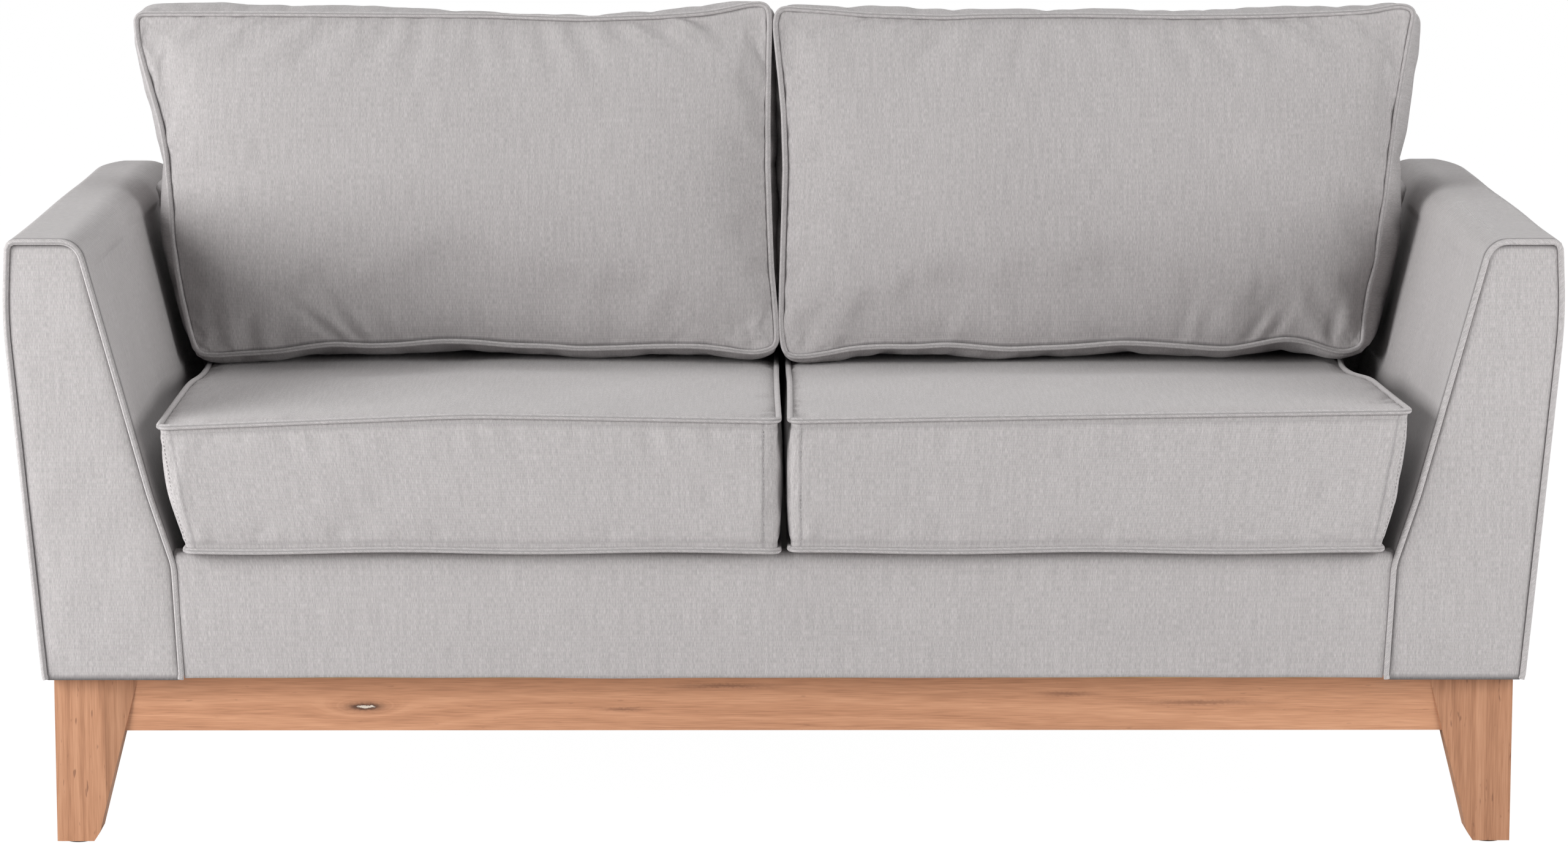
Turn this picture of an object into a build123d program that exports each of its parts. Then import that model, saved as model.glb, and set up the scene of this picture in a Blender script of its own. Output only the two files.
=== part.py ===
from build123d import *
import os
from math import cos, radians, sin, sqrt, tan

# A two-cushion upholstered sofa on a wooden plinth with four tapered legs.
# -Y is the front, +Z is up and +X is to the right for someone who faces the sofa.
# The origin is on the floor under the middle of the sofa. All sizes are in millimetres.

# Overall sizes
arm_depth = 845.0
seat_overhang = 16.0
body_bottom = 183.0
arm_height = 657.0
deck_height = 320.0
rail_top = 298.0

# Outline of an arm's front, as distances from the side of the seat box
seat_half_width = 640.5
arm_foot_width = 151.5
arm_belly = 185.5
arm_top_outer = 181.5
arm_top_inner = 103.5
arm_slant = 31.5
arm_knee = 6.5
arm_belly_share = 0.823
arm_slant_share = 0.428
arm_knee_share = 0.264
arm_outer_radius = 8.0
arm_belly_radius = 500.0
arm_ridge_radius = 18.0
arm_slant_radius = 340.0
arm_knee_radius = 60.0
arm_heel_radius = 3.0
least_radius = 1.0
heel_edge_count = 3
rear_corner_radius = 60.0

# Upholstery walls, welts and the gaps that are left between pieces
pad_wall = 12.0
welt_radius = 3.2
welt_gap = 0.1
fit_gap = 0.3
seam_gap = 0.4
cloth_thickness = 2.4
overrun = 5.0

# Frame timber and boards
board_thickness = 18.0
rail_thickness = 25.0
arm_top_rail_height = 22.0
arm_bottom_rail_height = 30.0
arm_bottom_rail_width = 100.0
arm_side_rail_width = 48.0
arm_side_rail_bottom = 217.0
arm_side_rail_top = 300.0
rear_board_setback = 80.0
centre_rail_height = 85.0
seat_block_leg = 60.0
seat_block_height = 80.0

# Arm bolts with T-nuts
arm_bolt_radius = 4.0
arm_bolt_hole_radius = 4.3
arm_bolt_head_radius = 7.5
arm_bolt_head_height = 5.3
arm_bolt_height = 258.0
arm_bolt_count = 4
arm_bolt_front_clearance = 18.9
arm_bolt_rear_clearance = 10.7
t_nut_barrel_radius = 5.2
t_nut_barrel_length = 9.0
t_nut_flange_radius = 11.0
t_nut_flange_thickness = 1.5
thread_gap = 0.05

# Legs, plinth and floor glides
leg_inset = 10.0
leg_setback = 20.0
leg_top_width = 89.0
leg_foot_width = 42.5
leg_thickness = 44.0
leg_flat_width = 53.0
leg_facet_depth = 10.0
leg_toe_width = 6.0
leg_toe_height = 12.0
glide_thickness = 3.0
glide_radius = 14.0
glide_setback = 21.0
plinth_height = 60.5
plinth_thickness = 22.0
plinth_recess = 10.0
plinth_block_leg = 70.0
plinth_block_height = 40.0
plinth_bolt_radius = 4.0
plinth_bolt_hole_radius = 4.2
plinth_bolt_head_radius = 8.0
plinth_bolt_head_height = 5.0
plinth_bolt_inset = 26.0
plinth_bolt_grip = 20.0
dowel_radius = 5.0
dowel_hole_radius = 5.1
dowel_length = 36.0
dowel_spacing = 28.0
dust_cover_thickness = 1.5

# Zigzag seat springs and their clips
spring_count = 10
spring_pitch = 124.0
spring_wire_radius = 1.9
spring_width = 48.0
spring_rungs = 17
clip_length = 14.0
clip_wall = 1.5
clip_width = 9.0
clip_setback = 14.0

# Back box between the arms
back_depth_low = 223.0
back_depth_high = 181.0
back_front_radius = 25.0
back_rear_radius = 12.0
back_board_side_gap = 14.0
former_count = 4
former_span = 1190.0
webbing_count = 5
webbing_width = 46.0
webbing_low_share = 0.36
webbing_high_share = 0.86

# Loose seat cushions, measured to the edges of their panels
seat_side_gap = 5.5
seat_flare = 20.5
seat_boxing_height = 139.0
seat_boxing_bulge = 4.0
seat_outer_draw = 20.0
seat_inner_draw = 2.0
seat_front_draw = 2.0
seat_rear_draw = 4.0
seat_corner_radius = 14.0
seat_crown = 13.0
seat_underside_crown = 5.8
seat_middle_gap = 4.6
seat_rear_gap = 1.0
cushion_cover_wall = 2.0

# Loose back cushions, measured to the edges of their panels
back_recline = 14.0
back_rest_clearance = 19.5
back_flare_low = 17.5
back_flare_high = 83.5
back_cushion_height = 382.0
back_cushion_rear_rise = 16.0
back_cushion_thickness = 158.0
back_outer_bulge = 9.0
back_inner_bulge = 4.0
back_top_bulge = 14.0
back_outer_draw = -5.0
back_inner_draw = 2.0
back_top_draw = 8.0
back_bottom_draw = 3.0
back_corner_radius = 16.0
back_front_crown = 24.0
back_rear_crown = 9.0
back_middle_gap_low = 4.6
back_middle_gap_high = 9.0
back_cushion_settle = 1.4
rest_gap = 0.5

# From welt to middle, how far in a crown's steps lie and how far they have risen
crown_inset_shares = (0.0, 0.16, 0.42, 0.70)
crown_height_shares = (0.0, 0.52, 0.86, 1.0)

# Places that follow from the sizes
front_y = (seat_overhang - arm_depth) / 2
back_y = front_y + arm_depth
welt_offset = (welt_radius + fit_gap) / sqrt(2)
inner_wall_y = back_y - pad_wall
apron_y = front_y + cloth_thickness
rail_y = apron_y + pad_wall
back_low_y = back_y - back_depth_low
back_high_y = back_y - back_depth_high
rear_rail_y = back_low_y - rail_thickness - cloth_thickness
leg_outer_x = seat_half_width + arm_foot_width - leg_inset
leg_front_y = front_y + leg_setback
leg_rear_y = back_y - leg_setback
leg_slope = (leg_top_width - leg_foot_width) / body_bottom
plinth_low = body_bottom - plinth_height
plinth_front_y = leg_front_y + plinth_recess
side_plinth_x = leg_outer_x - plinth_recess - plinth_thickness
rail_end_y = leg_front_y + leg_thickness
plinth_block_low = body_bottom - plinth_block_height
plinth_bolt_x = side_plinth_x - plinth_bolt_inset
plinth_bolt_ys = (rail_end_y + plinth_bolt_inset, back_y + front_y - rail_end_y - plinth_bolt_inset)
middle_plane = Plane.XZ.offset(-(front_y + back_y) / 2)

os.makedirs("parts", exist_ok=True)


def write(piece, node):
    """Label a finished piece and write it as one node."""
    piece.label = node
    export_step(piece, f"parts/{node}.step")


def write_pair(piece, name):
    """Write a right-hand piece and its mirror image on the left."""
    with BuildPart() as left_piece:
        mirror(piece, about=Plane.YZ)
    write(left_piece.part, f"{name}_left")
    write(piece, f"{name}_right")


def inset_corners(corners, inset):
    """Corners of a closed outline that runs anticlockwise, moved inwards by one distance."""
    moved = []
    befores = corners[-1:] + corners[:-1]
    afters = corners[1:] + corners[:1]
    for before, here, after in zip(befores, corners, afters):
        arriving = (here - before).normalized()
        leaving = (after - here).normalized()
        inward = Vector(-arriving.Y, arriving.X) + Vector(-leaving.Y, leaving.X)
        moved.append(here + inward * (2 * inset / inward.length**2))
    return moved


# Arms: an outline across the sofa, run along its depth

def arm_corners(inset, bottom):
    """Corners of the right arm's outline, from its outer heel over the top to its inner heel."""
    rise = arm_height - body_bottom
    heel_z = bottom - inset
    corners = [
        Vector(seat_half_width + arm_foot_width, heel_z),
        Vector(seat_half_width + arm_belly, body_bottom + rise * arm_belly_share),
        Vector(seat_half_width + arm_top_outer, arm_height),
        Vector(seat_half_width + arm_top_inner, arm_height),
        Vector(seat_half_width + arm_slant, body_bottom + rise * arm_slant_share),
        Vector(seat_half_width + arm_knee, body_bottom + rise * arm_knee_share),
        Vector(seat_half_width, heel_z),
    ]
    return inset_corners(corners, inset)


def arm_radii(inset):
    """Radii of the arm's corners between its two heels."""
    radii = (arm_belly_radius, arm_outer_radius, arm_ridge_radius)
    radii += (arm_slant_radius, arm_knee_radius)
    return [max(radius - inset, least_radius) for radius in radii]


def arm_face(inset, y, bottom=body_bottom):
    """The right arm's outline as a face at one place along the depth."""
    heel = max(arm_heel_radius - inset, least_radius)
    with BuildSketch(Plane.XZ.offset(-y)) as outline:
        with BuildLine():
            FilletPolyline(
                *arm_corners(inset, bottom), radius=[heel] + arm_radii(inset) + [heel], close=True
            )
        make_face()
    return outline.sketch


def arm_block(inset, start_y, end_y, bottom=body_bottom):
    """A solid of the arm's outline, whose outer rear corner is rounded where it is reached."""
    radius = rear_corner_radius - inset
    corner_x = seat_half_width + arm_foot_width - inset
    corner_y = back_y - inset
    belly_rise = (arm_height - body_bottom) * arm_belly_share
    flare = Vector(arm_belly - arm_foot_width, 0, belly_rise)
    with BuildPart() as block:
        extrude(arm_face(inset, start_y, bottom), amount=start_y - end_y)
        if end_y > corner_y - radius:
            drop = flare * (2 * overrun / belly_rise)
            with BuildSketch(Plane.XY.offset(body_bottom - drop.Z)) as rounding:
                with Locations((corner_x - drop.X - radius, corner_y - radius)):
                    Rectangle(radius + overrun, radius + overrun, align=(Align.MIN, Align.MIN))
                    Circle(radius, mode=Mode.SUBTRACT)
            extrude(
                rounding.sketch, amount=arm_height, dir=flare.normalized(), mode=Mode.SUBTRACT
            )
    return block.part


def between_arms(piece):
    """A piece that lies between the arms, trimmed a seam's gap short of their inner faces."""
    low = body_bottom - overrun
    with BuildPart() as arm_space:
        extrude(arm_face(-seam_gap, front_y - overrun, low), amount=-arm_depth - 2 * overrun)
    with BuildPart() as trimmed:
        add(piece)
        add(arm_space.part, mode=Mode.SUBTRACT)
        mirror(arm_space.part, about=Plane.YZ, mode=Mode.SUBTRACT)
    return trimmed.part


def bolt_spots(x):
    """Where the arm bolts cross a plane at x, with their axes along X."""
    first = rail_y + rail_thickness + seat_block_leg + arm_bolt_front_clearance
    last = rear_rail_y - seat_block_leg - arm_bolt_rear_clearance
    ys = [first + (last - first) * i / (arm_bolt_count - 1) for i in range(arm_bolt_count)]
    return [Plane(origin=(x, y, arm_bolt_height), z_dir=(1, 0, 0)).location for y in ys]


arm_front_y = front_y + 2 * welt_radius
board_inset = pad_wall + fit_gap
board_end_y = arm_front_y + board_thickness
rear_board_y = back_y - rear_board_setback
arm_rail_length = rear_board_y - board_end_y

with BuildPart() as arm_cover:
    add(arm_block(0, arm_front_y, back_y))
    add(
        arm_block(pad_wall, front_y, inner_wall_y, body_bottom - overrun), mode=Mode.SUBTRACT
    )
    with Locations(bolt_spots(seat_half_width)):
        Cylinder(arm_bolt_hole_radius, arm_side_rail_width, mode=Mode.SUBTRACT)
write_pair(arm_cover.part, "arm_cover")

with BuildPart() as arm_facing:
    add(arm_block(2 * welt_radius + welt_gap, front_y, arm_front_y))
write_pair(arm_facing.part, "arm_facing")

welt_face = arm_face(welt_radius, front_y + welt_radius, body_bottom - least_radius)
welt_path = Wire(welt_face.edges().sort_by(Axis.Z)[heel_edge_count:])
with BuildPart() as arm_welt:
    with BuildSketch(Plane(origin=welt_path @ 0, z_dir=welt_path % 0)):
        Circle(welt_radius)
    sweep(path=welt_path)
write_pair(arm_welt.part, "arm_welt")

with BuildPart() as arm_front_board:
    add(arm_block(board_inset, arm_front_y, board_end_y))
write_pair(arm_front_board.part, "arm_front_board")

with BuildPart() as arm_rear_board:
    add(arm_block(board_inset, rear_board_y, rear_board_y + board_thickness))
write_pair(arm_rear_board.part, "arm_rear_board")


def arm_rail(low, high, inner_x, outer_x):
    """A rail along the arm, cut from the space inside its cover."""
    with BuildPart() as rail:
        with BuildSketch(Plane.XZ.offset(-board_end_y)):
            with Locations(((inner_x + outer_x) / 2, (low + high) / 2)):
                Rectangle(outer_x - inner_x, high - low)
        extrude(amount=-arm_rail_length)
        add(arm_block(board_inset, board_end_y, rear_board_y), mode=Mode.INTERSECT)
    return rail.part


top_rail_low = arm_height - board_inset - arm_top_rail_height
belly_x = seat_half_width + arm_belly
write_pair(arm_rail(top_rail_low, arm_height, seat_half_width, belly_x), "arm_top_rail")

bottom_rail_high = body_bottom + arm_bottom_rail_height
bottom_rail_outer = seat_half_width + arm_foot_width - 2 * pad_wall
bottom_rail_inner = bottom_rail_outer - arm_bottom_rail_width
with BuildPart() as arm_bottom_rail:
    add(arm_rail(body_bottom, bottom_rail_high, bottom_rail_inner, bottom_rail_outer))
    with Locations([(plinth_bolt_x, y, body_bottom) for y in plinth_bolt_ys]):
        Cylinder(plinth_bolt_hole_radius, 2 * plinth_bolt_grip + overrun, mode=Mode.SUBTRACT)
write_pair(arm_bottom_rail.part, "arm_bottom_rail")

side_rail_outer = seat_half_width + arm_side_rail_width
with BuildPart() as arm_side_rail:
    add(arm_rail(arm_side_rail_bottom, arm_side_rail_top, seat_half_width, side_rail_outer))
    with Locations(bolt_spots(side_rail_outer)):
        Cylinder(t_nut_barrel_radius + thread_gap, arm_foot_width, mode=Mode.SUBTRACT)
write_pair(arm_side_rail.part, "arm_side_rail")


# Seat box: rails, corner blocks and the bolts that hold the arms to it

box_half_width = seat_half_width - seam_gap
rail_inner_y = rail_y + rail_thickness
side_rail_depth = rear_rail_y - rail_inner_y
box_rail_height = rail_top - body_bottom
box_middle_z = body_bottom + box_rail_height / 2
box_middle_y = (rail_inner_y + rear_rail_y) / 2

for name, y in (("seat_rail_front", rail_y), ("seat_rail_rear", rear_rail_y)):
    with BuildPart() as cross_rail:
        with Locations((0, y + rail_thickness / 2, box_middle_z)):
            Box(2 * box_half_width, rail_thickness, box_rail_height)
    write(cross_rail.part, name)

seat_side_rail_x = box_half_width - rail_thickness
with BuildPart() as seat_side_rail:
    with Locations((seat_side_rail_x + rail_thickness / 2, box_middle_y, box_middle_z)):
        Box(rail_thickness, side_rail_depth, box_rail_height)
    with Locations(bolt_spots(seat_side_rail_x)):
        Cylinder(arm_bolt_hole_radius, 2 * rail_thickness + overrun, mode=Mode.SUBTRACT)
write_pair(seat_side_rail.part, "seat_side_rail")

with BuildPart() as seat_centre_rail:
    with Locations((0, box_middle_y, body_bottom + centre_rail_height / 2)):
        Box(rail_thickness, side_rail_depth, centre_rail_height)
write(seat_centre_rail.part, "seat_centre_rail")

with BuildPart() as seat_corner_blocks:
    with BuildSketch(Plane.XY.offset(body_bottom)):
        for corner_y, inward in ((rail_inner_y, 1), (rear_rail_y, -1)):
            with BuildLine():
                Polyline(
                    (seat_side_rail_x, corner_y),
                    (seat_side_rail_x - seat_block_leg, corner_y),
                    (seat_side_rail_x, corner_y + inward * seat_block_leg),
                    close=True,
                )
            make_face()
    extrude(amount=seat_block_height)
    mirror(about=Plane.YZ)
write(seat_corner_blocks.part, "seat_corner_blocks")

bolt_length = side_rail_outer + t_nut_flange_thickness - seat_side_rail_x
with BuildPart() as arm_bolts:
    with BuildSketch(*[Plane(spot) for spot in bolt_spots(seat_side_rail_x)]):
        RegularPolygon(arm_bolt_head_radius, 6)
    extrude(amount=-arm_bolt_head_height)
    with Locations(bolt_spots(seat_side_rail_x)):
        Cylinder(
            arm_bolt_radius, bolt_length, align=(Align.CENTER, Align.CENTER, Align.MIN)
        )
    mirror(about=Plane.YZ)
write(arm_bolts.part, "arm_bolts")

with BuildPart() as arm_t_nuts:
    with Locations(bolt_spots(side_rail_outer)):
        Cylinder(
            t_nut_barrel_radius,
            t_nut_barrel_length,
            align=(Align.CENTER, Align.CENTER, Align.MAX),
        )
        Cylinder(
            t_nut_flange_radius,
            t_nut_flange_thickness,
            align=(Align.CENTER, Align.CENTER, Align.MIN),
        )
        Cylinder(arm_bolt_radius + thread_gap, bolt_length, mode=Mode.SUBTRACT)
    mirror(about=Plane.YZ)
write(arm_t_nuts.part, "arm_t_nuts")


# Springs, clips, pad and cloth of the seat deck, and the apron in front of them

spring_z = rail_top + clip_wall + spring_wire_radius
spring_start_y = rail_y + clip_setback
spring_end_y = rear_rail_y + rail_thickness - clip_setback
rung_pitch = (spring_end_y - spring_start_y) / (spring_rungs - 1)
turn_radius = rung_pitch / 2
half_rung = spring_width / 2 - turn_radius
spring_xs = [spring_pitch * (i - (spring_count - 1) / 2) for i in range(spring_count)]

with BuildPart() as zigzag:
    with BuildLine(Plane.XY.offset(spring_z)) as wire_line:
        for rung in range(spring_rungs):
            side = 1 if rung % 2 == 0 else -1
            rung_y = spring_start_y + rung * rung_pitch
            Line((-side * half_rung, rung_y), (side * half_rung, rung_y))
            if rung < spring_rungs - 1:
                CenterArc(
                    (side * half_rung, rung_y + turn_radius),
                    turn_radius,
                    start_angle=-90,
                    arc_size=side * 180,
                )
    with BuildSketch(Plane(origin=wire_line.line @ 0, z_dir=wire_line.line % 0)):
        Circle(spring_wire_radius)
    sweep(path=wire_line.line)

with BuildPart() as seat_springs:
    with Locations([(x, 0, 0) for x in spring_xs]):
        add(zigzag.part)
write(seat_springs.part, "seat_springs")

clip_opening = 2 * (spring_wire_radius + welt_gap)
clip_height = clip_opening + 2 * clip_wall
clip_spots = [(x, y) for x in spring_xs for y in (spring_start_y, spring_end_y)]
with BuildPart() as spring_clips:
    with Locations([(x, y, rail_top) for x, y in clip_spots]):
        Box(clip_width, clip_length, clip_height, align=(Align.CENTER, Align.CENTER, Align.MIN))
    with Locations([(x, y, rail_top + clip_wall) for x, y in clip_spots]):
        Box(
            2 * clip_width,
            clip_length - 2 * clip_wall,
            clip_opening,
            align=(Align.CENTER, Align.CENTER, Align.MIN),
            mode=Mode.SUBTRACT,
        )
write(spring_clips.part, "spring_clips")

deck_front_y = rail_y + cloth_thickness
deck_depth = back_low_y - seam_gap - deck_front_y
deck_middle_y = deck_front_y + deck_depth / 2
pad_bottom = rail_top + clip_height
pad_top = deck_height - cloth_thickness
with BuildPart() as deck_pad:
    with Locations((0, deck_middle_y, (pad_bottom + pad_top) / 2)):
        Box(2 * box_half_width, deck_depth, pad_top - pad_bottom)
write(deck_pad.part, "deck_pad")

with BuildPart() as deck_cloth:
    with Locations((0, deck_middle_y, pad_top + cloth_thickness / 2)):
        Box(2 * box_half_width, deck_depth, cloth_thickness)
write(deck_cloth.part, "deck_cloth")

lip_y = deck_front_y - fit_gap
apron_half_width = seat_half_width + arm_slant
with BuildPart() as apron:
    with BuildSketch(Plane.YZ.offset(-apron_half_width)):
        with BuildLine():
            Polyline(
                (apron_y, body_bottom),
                (rail_y, body_bottom),
                (rail_y, rail_top),
                (lip_y, rail_top),
                (lip_y, deck_height),
                (apron_y, deck_height),
                close=True,
            )
        make_face()
    extrude(amount=2 * apron_half_width)
    front_top = apron.edges().filter_by(Axis.X).group_by(Axis.Z)[-1].sort_by(Axis.Y)[0]
    fillet(front_top, arm_outer_radius)
write(between_arms(apron.part), "apron_cover")


# Back box: cover, boards, formers, webbing and the outside back

def back_corners(inset):
    """Corners of the back box's side profile, from its low front corner round to its slope."""
    low_z = body_bottom - inset
    corners = [
        Vector(back_low_y, low_z),
        Vector(back_y, low_z),
        Vector(back_y, arm_height),
        Vector(back_high_y, arm_height),
        Vector(back_low_y, deck_height),
    ]
    return inset_corners(corners, inset)


def back_face(inset, x, low, high, rear_y):
    """The back box's side profile between two heights and in front of one plane, at x."""
    with BuildSketch(Plane.YZ.offset(x)) as profile:
        with BuildLine():
            Polyline(*back_corners(inset), close=True)
        make_face()
        for rearward, radius in ((1, back_rear_radius), (-1, back_front_radius)):
            top = max(profile.vertices(), key=lambda corner: corner.Y + rearward * corner.X)
            fillet(top, max(radius - inset, least_radius))
        with Locations(((back_low_y - overrun + rear_y) / 2, (low + high) / 2)):
            Rectangle(rear_y - back_low_y + overrun, high - low, mode=Mode.INTERSECT)
    return profile.sketch


def back_slab(inset, low, high, half_width, rear_y):
    """A piece of the back box that runs from side to side."""
    with BuildPart() as slab:
        extrude(back_face(inset, -half_width, low, high, rear_y), amount=2 * half_width)
    return slab.part


back_half_width = seat_half_width + arm_top_inner - arm_outer_radius / 2
outer_back_top = arm_height - pad_wall - fit_gap
inner_rear_y = inner_wall_y - fit_gap
low_cut = body_bottom - overrun
with BuildPart() as back_cover:
    add(back_slab(0, body_bottom, arm_height, back_half_width, back_y))
    add(
        back_slab(pad_wall, low_cut, arm_height, 2 * back_half_width, back_y),
        mode=Mode.SUBTRACT,
    )
    with Locations((0, back_y, low_cut)):
        Box(
            2 * back_half_width,
            2 * pad_wall,
            arm_height - pad_wall - low_cut,
            align=(Align.CENTER, Align.CENTER, Align.MIN),
            mode=Mode.SUBTRACT,
        )
write(between_arms(back_cover.part), "back_cover")

top_board_low = arm_height - board_inset - board_thickness
top_board_half = back_half_width - back_board_side_gap
bottom_board_high = body_bottom + board_thickness
write(
    back_slab(board_inset, top_board_low, arm_height, top_board_half, inner_rear_y),
    "back_top_board",
)
write(
    back_slab(board_inset, body_bottom, bottom_board_high, box_half_width, inner_rear_y),
    "back_bottom_board",
)

former_inset = board_inset + cloth_thickness
former_xs = [former_span * (i / (former_count - 1) - 1 / 2) for i in range(former_count)]
with BuildPart() as back_formers:
    for former_x in former_xs:
        former_side = former_x - board_thickness / 2
        extrude(
            back_face(former_inset, former_side, bottom_board_high, top_board_low, inner_rear_y),
            amount=board_thickness,
        )
write(back_formers.part, "back_formers")

belt_half = (former_span + board_thickness) / 2
webbing_step = (webbing_high_share - webbing_low_share) / (webbing_count - 1)
with BuildPart() as back_webbing:
    for belt in range(webbing_count):
        share = webbing_low_share + belt * webbing_step
        belt_z = body_bottom + (arm_height - body_bottom) * share
        belt_low = belt_z - webbing_width / 2
        belt_high = belt_z + webbing_width / 2
        add(back_slab(board_inset, belt_low, belt_high, belt_half, back_high_y + overrun))
    add(
        back_slab(former_inset, body_bottom, arm_height, 2 * belt_half, back_y),
        mode=Mode.SUBTRACT,
    )
write(back_webbing.part, "back_webbing")

with BuildPart() as outer_back:
    with Locations((0, back_y, body_bottom)):
        Box(
            2 * back_half_width,
            pad_wall,
            outer_back_top - body_bottom,
            align=(Align.CENTER, Align.MAX, Align.MIN),
        )
write(between_arms(outer_back.part), "outer_back")


# Plinth: legs, rails, dowels, corner blocks, bolts, glides and the dust cover

def leg_inner_x(z):
    """Where the leg's slanted inner edge is at a height."""
    return leg_outer_x - leg_foot_width - leg_slope * z


def joint_dowels(radius):
    """Dowels in the right front leg: two towards the front rail and two towards the side."""
    across_y = plinth_front_y + plinth_thickness / 2
    along_x = side_plinth_x + plinth_thickness / 2
    middle_z = plinth_low + plinth_height / 2
    with BuildPart() as dowels:
        for z in (middle_z - dowel_spacing / 2, middle_z + dowel_spacing / 2):
            with Locations(Plane(origin=(leg_inner_x(z), across_y, z), z_dir=(1, 0, 0))):
                Cylinder(radius, dowel_length)
            with Locations(Plane(origin=(along_x, rail_end_y, z), z_dir=(0, 1, 0))):
                Cylinder(radius, dowel_length)
    return dowels.part


dowel_holes = joint_dowels(dowel_hole_radius)
facet_x = leg_outer_x - leg_flat_width
facet_end_x = leg_outer_x - leg_top_width
with BuildPart() as leg:
    with BuildSketch(Plane.XZ.offset(-leg_front_y)):
        with BuildLine():
            Polyline(
                (leg_outer_x, glide_thickness),
                (leg_outer_x, body_bottom),
                (leg_inner_x(body_bottom), body_bottom),
                (leg_inner_x(leg_toe_height), leg_toe_height),
                (leg_inner_x(leg_toe_height) + leg_toe_width, glide_thickness),
                close=True,
            )
        make_face()
    extrude(amount=-leg_thickness)
    with BuildSketch():
        with BuildLine():
            Polyline(
                (facet_x, leg_front_y),
                (facet_x, leg_front_y - overrun),
                (facet_end_x - overrun, leg_front_y - overrun),
                (facet_end_x - overrun, leg_front_y + leg_facet_depth),
                (facet_end_x, leg_front_y + leg_facet_depth),
                close=True,
            )
        make_face()
    extrude(amount=body_bottom, mode=Mode.SUBTRACT)
    add(dowel_holes, mode=Mode.SUBTRACT)
with BuildPart() as rear_leg:
    mirror(leg.part, about=middle_plane)
write_pair(leg.part, "leg_front")
write_pair(rear_leg.part, "leg_rear")

with BuildPart() as plinth_rail_front:
    with BuildSketch(Plane.XZ.offset(-plinth_front_y)):
        with BuildLine():
            Polyline(
                (-leg_inner_x(plinth_low), plinth_low),
                (leg_inner_x(plinth_low), plinth_low),
                (leg_inner_x(body_bottom), body_bottom),
                (-leg_inner_x(body_bottom), body_bottom),
                close=True,
            )
        make_face()
    extrude(amount=-plinth_thickness)
    add(dowel_holes, mode=Mode.SUBTRACT)
    mirror(dowel_holes, about=Plane.YZ, mode=Mode.SUBTRACT)
with BuildPart() as plinth_rail_rear:
    mirror(plinth_rail_front.part, about=middle_plane)
write(plinth_rail_front.part, "plinth_rail_front")
write(plinth_rail_rear.part, "plinth_rail_rear")

side_plinth_length = leg_rear_y - leg_front_y - 2 * leg_thickness
with BuildPart() as plinth_side_rail:
    with Locations((side_plinth_x, rail_end_y, plinth_low)):
        Box(
            plinth_thickness,
            side_plinth_length,
            plinth_height,
            align=(Align.MIN, Align.MIN, Align.MIN),
        )
    add(dowel_holes, mode=Mode.SUBTRACT)
    mirror(dowel_holes, about=middle_plane, mode=Mode.SUBTRACT)
write_pair(plinth_side_rail.part, "plinth_side_rail")

with BuildPart() as plinth_dowels:
    add(joint_dowels(dowel_radius))
    mirror(about=middle_plane)
    mirror(about=Plane.YZ)
write(plinth_dowels.part, "plinth_dowels")

with BuildPart() as plinth_corner_blocks:
    with BuildSketch(Plane.XY.offset(plinth_block_low)):
        with BuildLine():
            Polyline(
                (side_plinth_x, rail_end_y),
                (side_plinth_x - plinth_block_leg, rail_end_y),
                (side_plinth_x, rail_end_y + plinth_block_leg),
                close=True,
            )
        make_face()
        with Locations((plinth_bolt_x, plinth_bolt_ys[0])):
            Circle(plinth_bolt_hole_radius, mode=Mode.SUBTRACT)
    extrude(amount=plinth_block_height)
    mirror(about=middle_plane)
    mirror(about=Plane.YZ)
write(plinth_corner_blocks.part, "plinth_corner_blocks")

with BuildPart() as plinth_bolts:
    with Locations([(plinth_bolt_x, y, plinth_block_low) for y in plinth_bolt_ys]):
        Cylinder(
            plinth_bolt_radius,
            plinth_block_height + plinth_bolt_grip,
            align=(Align.CENTER, Align.CENTER, Align.MIN),
        )
    with BuildSketch(Plane.XY.offset(plinth_block_low)):
        with Locations([(plinth_bolt_x, y) for y in plinth_bolt_ys]):
            RegularPolygon(plinth_bolt_head_radius, 6)
    extrude(amount=-plinth_bolt_head_height)
    mirror(about=Plane.YZ)
write(plinth_bolts.part, "plinth_bolts")

glide_x = leg_outer_x - glide_setback
with BuildPart() as foot_glides:
    with Locations((glide_x, leg_front_y + leg_thickness / 2)):
        Cylinder(glide_radius, glide_thickness, align=(Align.CENTER, Align.CENTER, Align.MIN))
    mirror(about=middle_plane)
    mirror(about=Plane.YZ)
write(foot_glides.part, "foot_glides")

dust_front_y = plinth_front_y + plinth_thickness + fit_gap
dust_rear_y = back_y + front_y - dust_front_y
dust_half_width = side_plinth_x - plinth_block_leg - fit_gap
with BuildPart() as dust_cover:
    with Locations((0, (dust_front_y + dust_rear_y) / 2, body_bottom)):
        Box(
            2 * dust_half_width,
            dust_rear_y - dust_front_y,
            dust_cover_thickness,
            align=(Align.CENTER, Align.CENTER, Align.MAX),
        )
write(dust_cover.part, "dust_cover")


# Loose cushions: a boxing between two welted panels, with a crown on each panel

def panel(plane, corners, draws, corner_radius):
    """A four-cornered face whose sides are drawn in between its corners."""
    with BuildSketch(plane) as face:
        with BuildLine():
            for start, end, draw in zip(corners, corners[1:] + corners[:1], draws):
                along = (end - start).normalized()
                inward = Vector(-along.Y, along.X)
                ThreePointArc(start, (start + end) / 2 + inward * draw, end)
        make_face()
        fillet(face.vertices(), corner_radius)
    return face.sketch


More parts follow.
